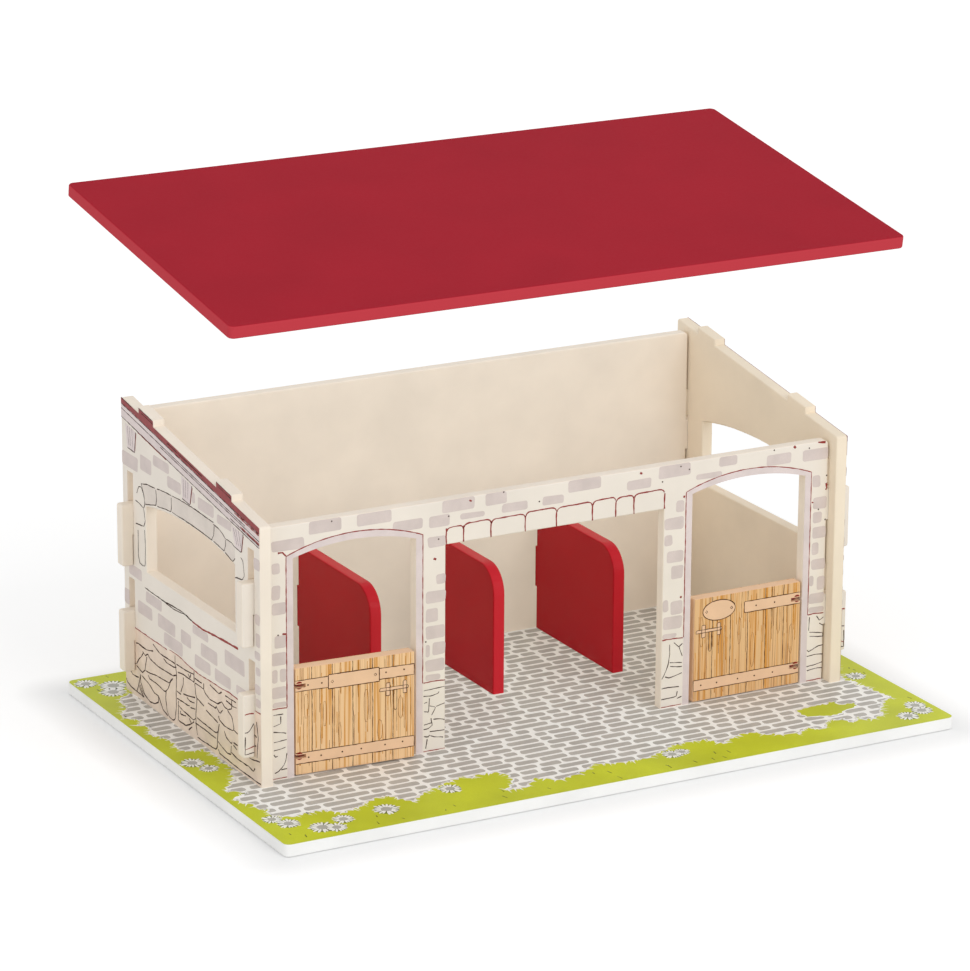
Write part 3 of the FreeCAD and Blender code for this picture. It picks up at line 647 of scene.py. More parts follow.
# Lines and outlines on the gables, in (y, z).
GABLE_STONES = [
     [(86, 51.7), (76, 48.6), (53, 48.9)], [(53, 54.3), (53, 48.9), (51, 43.6), (52, 30),
    (52, 20), (54, 12.1), (57, 10), (63, 10.7), (66, 13.6), (68, 21.4), (67, 26.4), (64, 29.3),
    (60, 35), (57, 37.9)], [(112, 44.3), (109, 45), (96, 44.6), (86, 47.1)], [(70, 47.1),
    (66, 45.7), (55, 46), (51, 47.1)], [(102, 41.7), (98, 40.3), (94, 42.6), (91, 40.3), (78, 39),
    (56, 40), (52, 41.7)], [(98, 30.3), (91, 30.6), (82, 32.1), (62, 33.3), (59, 36.4)],
    [(112, 30.3), (108, 35), (104, 37.9), (101, 41.4)], [(112, 29.3), (103, 27.4), (99, 30),
    (97, 36.4), (96, 40)], [(94, 28.3), (92, 26.4), (82, 26.9), (69, 25.4), (67, 26.4)],
    [(104, 25), (92, 22.6), (85, 19.3), (79, 19.3), (72, 12.1), (65, 10.7)], [(106, 25),
    (109, 17.1), (112, 12.1)], [(106, 24.3), (106, 20), (99, 12.9), (92, 11.1), (85, 12.1),
    (79, 15), (79, 19.3)], [(128, 15.7), (127, 13.6), (121, 12.1), (112, 11.7), (101, 11.4)],
    [(109, 17.1), (104, 12.9), (101, 11.4)], [(107, 17.9), (103, 14.3), (96, 12.1)], [(51, 49.3),
    (36, 49.7), (25, 50.7)], [(49, 44.6), (41, 45.7), (25, 45.7), (25, 53.1)], [(24, 48.6),
    (14, 48.6)], [(24, 45.7), (11, 45.7), (11, 49.3)], [(34, 48.6), (31, 46.4), (30, 49.3)],
    [(41, 43.6), (41, 39.3), (45, 32.9)], [(51, 31.7), (45, 31.4)], [(41, 32.9), (35, 33.6),
    (24, 36)], [(24, 45), (23, 38.6), (21, 35.7), (22, 31.4), (23, 25.7), (23, 18.6), (21, 12.1)],
    [(36, 32.1), (32, 31.1), (25, 32.1)], [(51, 26.9), (35, 27.4), (32, 27.9)], [(31, 27.1),
    (24, 28.3)], [(49, 22.9), (42, 21.4), (26, 20.3), (23, 22.9)], [(49, 25.7), (49, 12.9),
    (47, 12.6), (38, 12.9), (32, 15.7), (26, 19.3)], [(46, 20), (46, 17.9), (38, 19.3)],
    [(33, 19.3), (30, 17.1)], [(34, 11.4), (29, 15)], [(11, 45.7), (9, 43.6), (2, 41.7),
    (-9, 42.6), (-15, 45.7)], [(2, 51.4), (-8, 50), (-11, 49.7), (-15, 52.1)], [(-20, 51.4),
    (-35, 51.7)], [(-21, 48.6), (-31, 47.9), (-36, 48.6)], [(-15, 45.7), (-19, 43.6), (-24, 43.6),
    (-29, 45.7), (-29, 51.4)], [(21, 36.4), (11, 34.6)], [(8, 32.9), (-9, 30.3)], [(5, 38.6),
    (-6, 38.6), (-7, 40.7)], [(-7, 40), (-12, 37.1), (-16, 40.7)], [(21, 23.6), (14, 23.1),
    (-6, 22.6), (-9, 24.3), (-11, 30)], [(-10, 35), (-11, 32.9), (-19, 31.1), (-31, 32.1),
    (-32, 34.3), (-29, 40.7), (-23, 42.9)], [(-32, 32.9), (-37, 32.1)], [(24, 19.3), (9, 19.3),
    (-6, 18.9)], [(21, 10.7), (6, 11.1), (-6, 11.7), (-8, 14.3), (-8, 18.6), (-9, 24.3)],
    [(-9, 17.9), (-14, 16.4), (-22, 14.6), (-27, 15.4), (-28, 21.4)], [(-18, 27.9), (-21, 24.3),
    (-28, 22.9), (-29, 24.3)], [(-28, 17.1), (-36, 15.7), (-49, 16), (-52, 16.4), (-59, 15),
    (-61, 17.9)], [(-9, 12.9), (-11, 10.7), (-36, 10), (-69, 10)], [(-31, 24.6), (-37, 24.6)],
    [(-31, 22.9), (-36, 21.4)], [(-38, 41.4), (-45, 39.3), (-55, 40.7), (-64, 38.6)],
    [(-39, 32.1), (-51, 30.7), (-63, 32.9)], [(-44, 24.3), (-55, 22.1), (-68, 24.3)],
    [(-64, 48.6), (-66, 38.6), (-64, 25.7)], [(122, 40), (116, 36.4), (114, 32.9)], [(126, 31.4),
    (119, 29.7), (113, 30)], [(125, 24.3), (118, 21.4), (109, 22.1)]]
GABLE_ARCH = [
     [(94, 141.7), (78, 145.6)], [(76, 145.6), (56, 147.8)], [(54, 147.9), (35, 147.8),
    (14, 147.4), (-4, 146.4)], [(-6, 146.4), (-21, 144.6)], [(-22, 144), (-33, 141.3),
    (-36, 144.3)], [(100, 153.6), (92, 155.4), (79, 156.4)], [(76, 156.9), (66, 157.9),
    (55, 158.6)], [(54, 158.6), (35, 159.3), (14, 159.1), (-6, 158.3)], [(-6, 157.1),
    (-15, 156.4), (-23, 152.9)], [(-24, 152.9), (-31, 152.9), (-36, 151.4)], [(78, 155.7),
    (77, 150), (78, 145.6)], [(55, 156.9), (55, 150), (56, 147.8)], [(-7, 156.4), (-6, 150),
    (-3, 146.4)], [(-23, 152.1), (-23, 148.6), (-21, 145)], [(100, 153.6), (97, 148.6),
    (94.6, 141.7)], [(109, 140.3), (104, 140), (97, 138.3), (94.8, 141.4), (96, 147.1),
    (100, 151.4), (104, 150.7), (107, 145.7)], [(109, 125), (106, 125.4), (97, 126.4),
    (94.8, 130), (96, 135.7), (97, 137.9)], [(96, 124.3), (95, 112.9), (96, 100.7), (99, 99.7),
    (104, 100.3)], [(106, 121.4), (106, 104.3), (104, 100)], [(-36, 132.1), (-39, 132.9),
    (-46, 133.6), (-49, 137.1), (-47, 145.7), (-44, 147.1)]]
GABLE_ARCH_BAND = [
     (100, 153.6), (92, 155.4), (79, 156.4), (66, 157.9), (55, 158.6), (35, 159.3), (14, 159.1),
    (-6, 158.2), (-15, 156.4), (-23, 152.9), (-36, 151.4), (-36, 144.3), (-33, 141.3),
    (-21, 144.6), (-4, 146.6), (14, 147.5), (35, 147.9), (55, 147.9), (77, 145.7), (94, 141.8)]
GABLE_PLINTH = [
     [(128.6, 54), (112, 54.3), (65, 54.6)], [(61, 55.7), (49, 56), (42, 55.4), (36, 54.3),
    (19, 53.3), (4, 53.9), (-16, 54.3), (-25, 55.4), (-38, 54.6), (-69.6, 55.6)]]
SILL_DARK = [
     [(97, 86), (71, 85.4), (54, 84.7), (35, 86.4), (26, 85)], [(71, 85.4), (55, 86.3),
    (41, 86.9), (28, 85)]]
SILL_RED = [
    [(26, 84.9), (11, 84.3), (-1, 85.4), (-15, 86.4), (-39, 87.6)]]
BRACKETS = [
     [(122.9, 187.5), (107.1, 185), (109.3, 171.3), (120, 172.2)], [(40, 175.5), (24.4, 173),
    (27.5, 160), (38.5, 161)], [(-31.4, 164.5), (-47.6, 162.5), (-45, 150.5), (-36.5, 151.5)]]

# Lines along the gable's slope: depth below the edge, then the y of their points.
SLOPE_RED = (
    (13.4, (104, 84, 62)), (10.6, (-44, GABLE_FRONT)), (5.2, (-36, GABLE_FRONT)))
SLOPE_BROWN = (
    (4.3, (GABLE_FRONT, 30, GABLE_BACK)), (7.4, (GABLE_BACK, 40, -50)),
    (8.8, (70, 10, GABLE_FRONT)), (13.0, (GABLE_BACK, 60, -10, GABLE_FRONT)),
    (11.4, (-30, GABLE_FRONT)), (0.6, (GABLE_BACK, 113)), (2.0, (60, 10)), (-3.2, (101.6, 82)),
    (-3.2, (-11, -30)), (-1.4, (98, 81.5)), (-1.4, (-14, -31)))


def arc_between(a, b, rise, count=28):
    """Points of a shallow arch from a to b."""
    half = math.dist(a, b) / 2
    radius = (half * half + rise * rise) / (2 * rise)
    middle = ((a[0] + b[0]) / 2, (a[1] + b[1]) / 2 + rise - radius)
    reach = math.asin(half / radius)
    return [(middle[0] + radius * math.sin(-reach + 2 * reach * i / count),
             middle[1] + radius * math.cos(-reach + 2 * reach * i / count))
            for i in range(count + 1)]


def doorway_line(left, right, margin, lift, rise):
    """A line round a doorway from floor to floor, outside it by a margin."""
    left, right, foot = left - margin, right + margin, FLOOR - 0.1
    arch = arc_between((left, SPRING + lift), (right, SPRING + lift), CROWN - SPRING + rise)
    return [(left, foot)] + arch + [(right, foot)]


def roof_line(y, drop):
    """Point of a gable at a depth below its sloping edge."""
    return (y, SLOPE_LOW + (SLOPE_HIGH - SLOPE_LOW) / SLOPE_RUN * (y - SLOPE_START) - drop)


def slope_strip(start, end, top, bottom):
    """Strip along the slope between two depths."""
    return [roof_line(start, top), roof_line(start, bottom),
            roof_line(end, bottom), roof_line(end, top)]


def slope_lines(rows):
    return [[roof_line(y, drop) for y in run] for drop, run in rows]


def clear_of(lines, boxes):
    """Parts of drawn lines outside boxes that are given as (x0, x1, z0, z1)."""
    made = []
    for line in lines:
        run = []
        for a, b in zip(line, line[1:]):
            count = max(1, round(math.dist(a, b)))
            for i in range(count + 1):
                x, z = (a[k] + (b[k] - a[k]) * i / count for k in (0, 1))
                if any(x0 < x < x1 and z0 < z < z1 for x0, x1, z0, z1 in boxes):
                    made.append(run)
                    run = []
                elif not run or run[-1] != (x, z):
                    run.append((x, z))
        made.append(run)
    return [run for run in made if len(run) > 1]


def back_bricks():
    """Bricks in loose rows; the lowest five rows keep clear of the dividers' tabs."""
    draw = random.Random(11)
    first, pitch, tall = 60, 11.2, 7.5
    made = []
    for row in range(12):
        x = -192 + draw.uniform(0, 40)
        foot = first + row * pitch
        while x < 170:
            wide = draw.uniform(15, 25)
            middle = x + wide / 2
            if row > 4 or min(abs(middle - tab) for tab in TAB_X) > 20:
                made.append((x, min(x + wide, BACK_HALF), foot, foot + tall))
            x += wide + draw.uniform(12, 46)
    return made


def lintel_lines():
    """Tops of the stones over the centre opening, then the joints between them."""
    tops = [[(left + 0.3, top - 2.4), (left + 1.2, top - 0.6), (left + 3, top),
             (right - 3, top + 0.3), (right - 1.0, top - 0.3), (right - 0.2, top - 2.0)]
            for left, right, top in zip(LINTEL_X, LINTEL_X[1:], LINTEL_TOP)]
    return tops + [[(x + 0.1, 151.4), (x - 0.2, 146), (x, LINTEL_FOOT)] for x in LINTEL_X]


class STABLE_OT_boards(bpy.types.Operator):
    """Paint the walls, the base, the dividers, the roof and the hinges"""
    bl_idname = "stable.boards"
    bl_label = "Paint boards"

    def execute(self, context):
        tone = colours()
        for node, name, axis, paint in (
                ("front_wall", "painted_front_board", (0, -1, 0), tone.paint),
                ("back_wall", "painted_back_board", (0, 1, 0), tone.paint),
                ("left_side_panel", "painted_left_board", (-1, 0, 0), tone.paint),
                ("right_side_panel", "painted_right_board", (1, 0, 0), tone.warm_paint)):
            coat(node, painted_board(name, paint, tone.wall, axis))
        coat("base_plate", painted_board(
            "painted_base_board", tone.base_edge, tone.joint, (0, 0, 1)))
        coat("roof_panel", red_lacquer(
            "satin_red_lacquer", tone.lacquer, tone.thin_lacquer, (0, 0, 1), 0.5, 0.02))
        gloss = red_lacquer(
            "gloss_red_lacquer", tone.divider_lacquer, tone.divider_edge, (1, 0, 0), 0.22, 0.08)
        for node in DIVIDERS:
            coat(node, gloss)
        wire = lacquered_wire("red_lacquered_wire", tone.hinge)
        for node in NODES:
            if node.endswith(("_pin", "_eye")):
                coat(node, wire)
        door = painted_board("painted_door_board", tone.strap)
        coat("left_door", door)
        coat("right_door", door)
        return {"FINISHED"}


class STABLE_OT_walls(bpy.types.Operator):
    """Print bricks, bands, lintel and plinth stones on the walls"""
    bl_idname = "stable.walls"
    bl_label = "Print walls"

    def execute(self, context):
        tone, size = colours(), sizes()
        brick = printed_ink("lilac_brick_ink", tone.brick)
        band = printed_ink("lilac_band_ink", tone.band)
        red = printed_ink("dark_red_line_ink", tone.red_line, shine=0.08)
        brown = printed_ink("brown_line_ink", tone.brown_line, shine=0.04)
        stone = printed_ink("tan_stone_ink", tone.stone, blotch=16.0, depth=0.13)
        edge = printed_ink("roof_tile_ink", tone.tile_edge, blotch=4.0, depth=0.2)
        arch = printed_ink("grey_cream_arch_ink", tone.arch, blotch=14.0, depth=0.08)

        def wall_piece(name, ink, parts):
            add_piece(name, parts, ink, "stable")

        front_rows, back_rows, gable_rows = (
            tiled(rows, size.brick_round, 0.7, brick)
            for rows in (FRONT_BRICKS, back_bricks(), GABLE_BRICKS))
        wall_piece("printed_bricks", brick, [
            (front_rows, FRONT), (back_rows, BACK)] + on_gables([gable_rows]))

        bands, outlines = [], []
        for left, right in DOOR_JAMBS:
            inner = doorway_line(left, right, 0.1, 0, 0)
            outer = doorway_line(left, right, BAND, 1.8, 2.8)
            bands.append(inner + list(reversed(outer)))
            outlines.append([(outer[0][0], PLINTH)] + outer[1:-1] + [(outer[-1][0], PLINTH)])
        ends = (GABLE_FRONT - 0.2, GABLE_BACK + 0.2)
        fascia = patches([slope_strip(*ends, 4.0, 13.0)] + BRACKETS, 1.3)
        wall_piece("printed_bands", band, [(patches(bands, 1.3), FRONT)] + on_gables([fascia]))

        tabs = [slope_strip(y - ROOF_TAB_HALF, y + ROOF_TAB_HALF, -3.4, 0.3)
                for y in ROOF_TABS]
        wall_piece("printed_roof_edges", edge, on_gables(
            [patches([slope_strip(*ends, 0.3, 4.0)], 1), patches(tabs, 1)]))

        plinths = [[(a, PLINTH), ((a + b) / 2, PLINTH + 0.3), (b, PLINTH - 0.2)]
                   for a, b in PIERS + HOOKS]
        feet = [[(a, FLOOR + 0.5), (b, FLOOR + 0.7)] for a, b in PIERS]
        feet += [[(213.8 * side, 31.2), (208 * side, 32.7)] for side in (-1, 1)]
        bracket_reds = [[(b[1][0] - 0.3, b[1][1] - 1), (b[2][0] - 0.3, b[2][1] + 0.5)]
                        for b in BRACKETS]
        back_plinth = clear_of([[(-BACK_HALF, STONE_TOP), (-100, 53.6), (0, 54.4), (100, 53.6),
                                 (BACK_HALF, STONE_TOP)]], TAB_ENDS)
        front_red = [drawn(lines, width, red, sway) for lines, width, sway in (
            (outlines, 0.6, 0.15), (lintel_lines(), 0.85, 0.35), (plinths, 0.7, 0.35),
            (feet, 0.5, 0.35), (RED_MARKS, 1.3, 0.35))]
        gable_red = [drawn(lines, width, red) for lines, width in (
            (GABLE_PLINTH, 0.6), (SILL_RED, 1.2), (slope_lines(SLOPE_RED), 0.8),
            (bracket_reds, 0.8))]
        wall_piece("printed_red_lines", red, [(part, raised(FRONT, 1)) for part in front_red] + [
            (drawn(back_plinth, 0.8, red), raised(BACK, 1))] + on_gables(gable_red, 1.1))

        # Tan ground of the plinth stones, notched round the dividers' tabs on the back wall.
        tint = patches([[(GABLE_FRONT, FLOOR), (GABLE_BACK, FLOOR), (GABLE_BACK, STONE_TOP)]
                        + GABLE_PLINTH[0][1:] + GABLE_PLINTH[1]], 0.6)
        back_top = [(BACK_HALF, STONE_TOP)]
        for x0, x1, z0, z1 in reversed(TAB_ENDS):
            back_top += [(x1, STONE_TOP), (x1, z0), (x0, z0), (x0, STONE_TOP)]
        back_tint = patches([[(-BACK_HALF, FLOOR), (BACK_HALF, FLOOR)] + back_top
                             + [(-BACK_HALF, STONE_TOP)]], 0.6)
        wall_piece("printed_stones", stone, [(back_tint, BACK)] + on_gables([tint]))
        wall_piece("printed_arches", arch, on_gables([patches([GABLE_ARCH_BAND], 0.6)]))

        hatch = [[(b[0][0] - k, b[0][1] - 1.5), (b[3][0] - k * 0.8, b[3][1] + 2)]
                 for b in BRACKETS for k in (3, 6, 10)]
        gable_brown = [drawn(lines, width, brown, sway) for lines, width, sway in (
            (GABLE_STONES, 0.72, 0.35), (GABLE_ARCH, 0.55, 0.35), (SILL_DARK, 0.6, 0.35),
            (slope_lines(SLOPE_BROWN), 0.5, 0.15), ([b[1:] for b in BRACKETS], 0.6, 0.35),
            (hatch, 0.2, 0.35))]
        # The back wall has two lengths of the gable's stones, mirrored about its middle.
        back_stones = clear_of([[(side * (y - GABLE_MIDDLE - BACK_STONES), z) for y, z in line]
                                for side in (1, -1) for line in GABLE_STONES], TAB_ENDS)
        wall_piece("printed_brown_lines", brown, [
            (drawn(PIER_STONES, 0.5, brown), raised(FRONT, 0.5)),
            (drawn(back_stones, 0.45, brown), raised(BACK, 0.6))] + on_gables(gable_brown, 1.2))

        specks = dotted([(x, z, 0.5) for x, z in SPECKS], brown, layers=2)
        wall_piece("printed_specks", brown, [(specks, raised(FRONT, 1))])
        return {"FINISHED"}


# Base print, in (x, y): edge of the print, rounding of the base's corners, and where the
# borders of the left and right grass end.

EDGE_X, EDGE_Y, CORNER = 234.7, 159.7, 4
LEFT_END, RIGHT_END = 119, 122
# Cobbles: their usual lengths, the print's half length and depth, and its rear end.
COBBLE_LENGTHS = (8, 10, 12, 14, 16, 18, 20, 23)
PAVING_HALF, PAVING_DEPTH, PAVING_REAR = 231, 300, 152
# A row runs along the middle of the front wall, with others in front of it.
WALL_ROW, ROWS_IN_FRONT = -58, 12
# Grass lies outside these lines, and its blades stop short of the rear edge.
GRASS_HALF, GRASS_FRONT, GRASS_REAR, BLADE_END = 224, -141, 152, 159.4
# Blades are tried all over the base, and those on the grass are kept.
BLADE_TRIES = 420

# Borders of the grass, and a tuft in the paving.
FRONT_BORDER = [
     (-222, -112), (-212, -121), (-200, -119), (-190, -119), (-182, -129), (-168, -124),
    (-152, -116), (-145, -116), (-136, -132), (-122, -121), (-115, -118), (-103, -113),
    (-90, -109), (-86, -114), (-80, -110), (-67, -113), (-64, -120), (-66, -128), (-69, -134),
    (-78, -141), (-65, -143), (-58, -137), (-52, -131), (-45, -137), (-40, -141), (-28, -138),
    (-18, -134), (-8, -127), (0, -131), (8, -133), (25, -134), (42, -127), (50, -121), (62, -121),
    (75, -122), (80, -134), (88, -128), (100, -124), (110, -126), (112, -133), (117.6, -132.5),
    (119.9, -136.2), (125.3, -137.8), (131.9, -137.5), (130.6, -141.8), (138.4, -134.6),
    (142.3, -134.1), (145.9, -137.2), (148.7, -140), (153.6, -137.5), (155.6, -132.2),
    (160.7, -128.5), (163.4, -128.6), (166.2, -131.4), (170.5, -129.8), (170, -137.2),
    (174.7, -138.4), (181.1, -131.5), (180.4, -137.5), (184.8, -137.3), (186.9, -139.7),
    (193.5, -136.7), (196.9, -135.9), (198.5, -129.1), (203.7, -124), (203.5, -121.4),
    (210.2, -118.4)]
LEFT_BORDER = [
     (-207, 119), (-216, 116), (-218, 112), (-221, 106), (-220, 100), (-224, 93), (-230, 85),
    (-229, 78), (-222, 71), (-229, 64), (-222, 57), (-227, 51), (-228, 44), (-224, 38),
    (-222, 30), (-221, 24), (-223, 18), (-222, 11), (-218, 7), (-210, 7), (-208.5, 0),
    (-208.5, -34), (-212, -37), (-213, -44), (-217, -50), (-223, -57), (-229, -64), (-222, -69),
    (-218, -73), (-229, -77), (-229, -85), (-223, -92), (-224, -98), (-219, -104), (-222, -112)]
RIGHT_BORDER = [
     (210.2, -118.4), (210.4, -114.6), (218.8, -112.5), (217.8, -106.7), (216.9, -101),
    (215, -90.8), (215.5, -87.1), (212.4, -80.1), (214.9, -76.2), (212.7, -73.7), (209.8, -70.8),
    (211.6, -65.1), (214, -55), (219, -46), (224, -38), (217, -28), (221, -18), (227, -8),
    (221, 3), (216, 12), (223, 22), (228, 30), (220, 40), (215, 50), (222, 60), (226, 70),
    (219, 80), (214, 90), (222, 101), (217, 111), (207, 122)]
REAR_BORDER = [
     (207, 122), (200, 140), (186, 146), (172, 138), (158, 143), (140, 149), (122, 141),
    (104, 146), (86, 138), (66, 144), (48, 150), (30, 142), (12, 146), (-8, 139), (-28, 145),
    (-46, 150), (-66, 141), (-84, 146), (-104, 138), (-124, 144), (-142, 149), (-160, 141),
    (-178, 146), (-196, 140), (-207, 119)]
BORDERS = (FRONT_BORDER, LEFT_BORDER, RIGHT_BORDER, REAR_BORDER)
ISLAND = [
     (152.6, -103.9), (158.3, -103), (164.3, -102.2), (169.1, -102.1), (173.1, -101.6),
    (175, -103.9), (178.5, -100.5), (182.6, -101.4), (181.6, -106), (183.7, -108.5),
    (187.8, -108), (192.6, -109.2), (191.5, -113.8), (184.9, -116.8), (179.6, -117.9),
    (175.7, -121), (171, -122.4), (166.3, -122.5), (162.1, -120.4), (157.7, -118.6),
    (152.1, -117.2), (150.8, -111.9)]

# Daisies as (x, y, radius).
DAISIES = [
     (-224, -119, 6), (-218, -129.5, 7), (-203, -144, 8), (-195.5, -148, 6.5), (-186, -138, 6.5),
    (-156, -135.5, 8), (-106.5, -123.5, 7), (42.5, -135, 6.5), (50, -134, 5), (220.7, -67.2, 6.5),
    (224.2, -130.9, 7), (222.9, -140.5, 7), (209.6, -145.1, 7), (-226, -12, 7.5), (-221, -25, 6),
    (-226.2, 149, 7.4), (-212, 138, 9), (-217, 127, 8.5), (226, 30, 6.5), (221, 142, 8),
    (228, 132, 6), (-120, 152, 6), (-8, 150, 6.5), (66, 152, 6), (150, 153, 6)]


def bladed(points, depth, seed, step=2.4):
    """A border broken into short grass blades."""
    draw = random.Random(seed)
    made = []
    for a, b in zip(points, points[1:]):
        span = math.dist(a, b)
        count = max(2, int(span / step))
        nx, ny = (b[1] - a[1]) / span, (a[0] - b[0]) / span
        for i in range(count):
            t = i / count
            shift = depth * draw.uniform(0.3, 1.0) * (1 if i % 2 else -0.5) if i else 0.0
            made.append((a[0] + (b[0] - a[0]) * t + nx * shift,
                         a[1] + (b[1] - a[1]) * t + ny * shift))
    made.append(points[-1])
    return made


def spikes(points, seed):
    """Thin pale tips that run from the paving into the grass."""
    draw = random.Random(seed)
    made = []
    for a, b in zip(points, points[1:]):
        span = math.dist(a, b)
        tx, ty = (b[0] - a[0]) / span, (b[1] - a[1]) / span
        for i in range(max(1, round(span / 4.5))):
            t = span * draw.random()
            x, y = a[0] + tx * t + ty * 0.5, a[1] + ty * t - tx * 0.5
            reach, lean = draw.uniform(1.5, 5.0), draw.uniform(-2.0, 2.0)
            half = draw.uniform(0.4, 0.9)
            made.append([(x - tx * half - ty * 1.5, y - ty * half + tx * 1.5),
                         (x + ty * reach + tx * lean, y - tx * reach + ty * lean),
                         (x + tx * half - ty * 1.5, y + ty * half + tx * 1.5)])
    return made


def cobble_rows(draw, size):
    pitch, tall, joint = (
        v / MM for v in (size.cobble_pitch, size.cobble_height, size.cobble_joint))
    made = []
    for row in range(int(PAVING_DEPTH / pitch)):
        y = WALL_ROW - ROWS_IN_FRONT * pitch + row * pitch
        x = -PAVING_HALF + draw.uniform(0, 9)
        while x < PAVING_HALF - 9:
            wide = draw.choice(COBBLE_LENGTHS) * draw.uniform(0.9, 1.1)
            end = min(x + wide, PAVING_HALF)
            lift = draw.uniform(-0.4, 0.4)
            if y + tall < PAVING_REAR:
                made.append((x, end, y - tall / 2 + lift, y + tall / 2 + lift))
            x += wide + joint * draw.uniform(0.8, 1.4)
    return made


def base_corner(sx, sy):
    bend = [math.radians(15 * i) for i in range(7)]
    return [(sx * (EDGE_X - CORNER * (1 - math.cos(a))),
             sy * (EDGE_Y - CORNER * (1 - math.sin(a)))) for a in bend]


def grass_blades(draw):
    made = []
    for i in range(BLADE_TRIES):
        x, y = draw.uniform(-230, 230), draw.uniform(-157, 157)
        if abs(x) > GRASS_HALF or y < GRASS_FRONT or y > GRASS_REAR:
            lean = draw.uniform(-1.2, 1.2)
            made.append([(x, y), (x + lean, min(y + draw.uniform(2.0, 4.5), BLADE_END))])
    return made


class STABLE_OT_paving(bpy.types.Operator):
    """Print cobbles, grass and daisies on the base"""
    bl_idname = "stable.paving"
    bl_label = "Print base"

    def execute(self, context):
        tone, size = colours(), sizes()
        draw = random.Random(3)
        cobble = printed_ink("warm_grey_cobble_ink", tone.cobble, blotch=16.0, depth=0.09)
        grass = printed_ink("yellow_green_grass_ink", tone.grass, blotch=42.0, depth=0.12)
        fringe = printed_ink("pale_fringe_ink", tone.joint)
        shade = printed_ink("dark_grass_ink", tone.grass_dark)
        petal = printed_ink("white_petal_ink", tone.petal)
        heart = printed_ink("grey_heart_ink", tone.heart)

        def base_piece(name, ink, *parts):
            add_piece(name, parts, ink, "stable")

        def flowers(share, ink, make=dot_tree):
            return dotted([(x, y, r * share) for x, y, r in DAISIES], ink, make)

        paving = tiled(cobble_rows(draw, size), size.cobble_round, 0.9, cobble)
        base_piece("printed_cobbles", cobble, (paving, GROUND))

        borders = [bladed(border, 2.0, 30 + i) for i, border in enumerate(BORDERS)]
        front, left, right, rear = borders
        island = bladed(loop(ISLAND), 1.2, 77)[:-1]
        lawn = [
            base_corner(-1, -1) + base_corner(1, -1)[::-1] + front[::-1],
            [(-EDGE_X, -EDGE_Y + CORNER)] + left[::-1] + [(-EDGE_X, LEFT_END)],
            right + [(EDGE_X, RIGHT_END), (EDGE_X, -EDGE_Y + CORNER)],
            base_corner(-1, 1)[::-1] + [(-EDGE_X, LEFT_END)] + rear[::-1] + [(EDGE_X, RIGHT_END)]
            + base_corner(1, 1), island]
        base_piece("printed_grass", grass, (patches(lawn, 2.4), GROUND))

        rim = drawn(borders + [loop(island)], 2.6, fringe, 0.6, layers=1.7)
        tips = [tip for i, border in enumerate(BORDERS) for tip in spikes(border, 50 + i)]
        base_piece("printed_grass_fringe", fringe, (rim, GROUND), (patches(tips, 2.9), GROUND))

        blades = drawn(grass_blades(draw), 0.6, shade, 0.3, layers=0.6)
        base_piece("printed_grass_ticks", shade, (blades, raised(GROUND, 2.2)))
        base_piece("printed_daisy_shade", shade, (flowers(0.97, shade), raised(GROUND, 2.5)))
        base_piece("printed_daisies", petal, (
            flowers(1.12, petal, daisy_tree), raised(GROUND, 3.3)))
        base_piece("printed_daisy_hearts", heart, (flowers(0.42, heart), raised(GROUND, 4.1)))
        return {"FINISHED"}


# Door print, in (x, z) of each closed door: edges of the planks, battens as (x0, x1, z0, z1),
# the plaque with its two screws, nails, the bolt's corner and the hinges' x.

DOOR_FOOT, DOOR_HEAD = 9.2, 77.3
# Offset of the grain from one plank to the next, in metres.
PLANK_SHIFT = 0.37

# Notches that the screw eyes stand in, at the hinge edge of either door.
EYE_HEIGHTS = (20.5, 66.0)
NOTCH_HALF, NOTCH_END = 1.25, 172.8
NOTCHES = [(x - 4, x + 4, z - 1.5, z + 1.5) for x in (-NOTCH_END - 3.6, NOTCH_END + 3.6)
           for z in EYE_HEIGHTS]

# Hinge axis of the left door in (x, y), and how far that door stands ajar, in degrees.
LEFT_AXIS, AJAR = (-175.8, -58.0), -3.5


def door_plate(x0, x1, z0, z1):
    """Plate on a door, cut away where a screw eye stands in the hinge edge."""
    if x0 < 0:
        return mirrored(door_plate(-x1, -x0, z0, z1))
    edge = []
    for z in EYE_HEIGHTS:
        if x1 > NOTCH_END and z0 < z < z1:
            low, high = z - NOTCH_HALF, z + NOTCH_HALF
            edge += [(x1, low), (NOTCH_END, low), (NOTCH_END, high), (x1, high)]
    return [(x0, z0), (x1, z0)] + edge + [(x1, z1), (x0, z1)]


def batten_rim(x0, x1, z0, z1):
    """Outline of a batten, open at the hinge edge."""
    hinge, free = (x0, x1) if x0 < 0 else (x1, x0)
    return [(hinge, z0), (free, z0), (free, z1), (hinge, z1)]


def oval(x, z, wide, tall, count=32):
    return [(x + wide / 2 * math.cos(2 * math.pi * i / count),
             z + tall / 2 * math.sin(2 * math.pi * i / count)) for i in range(count)]


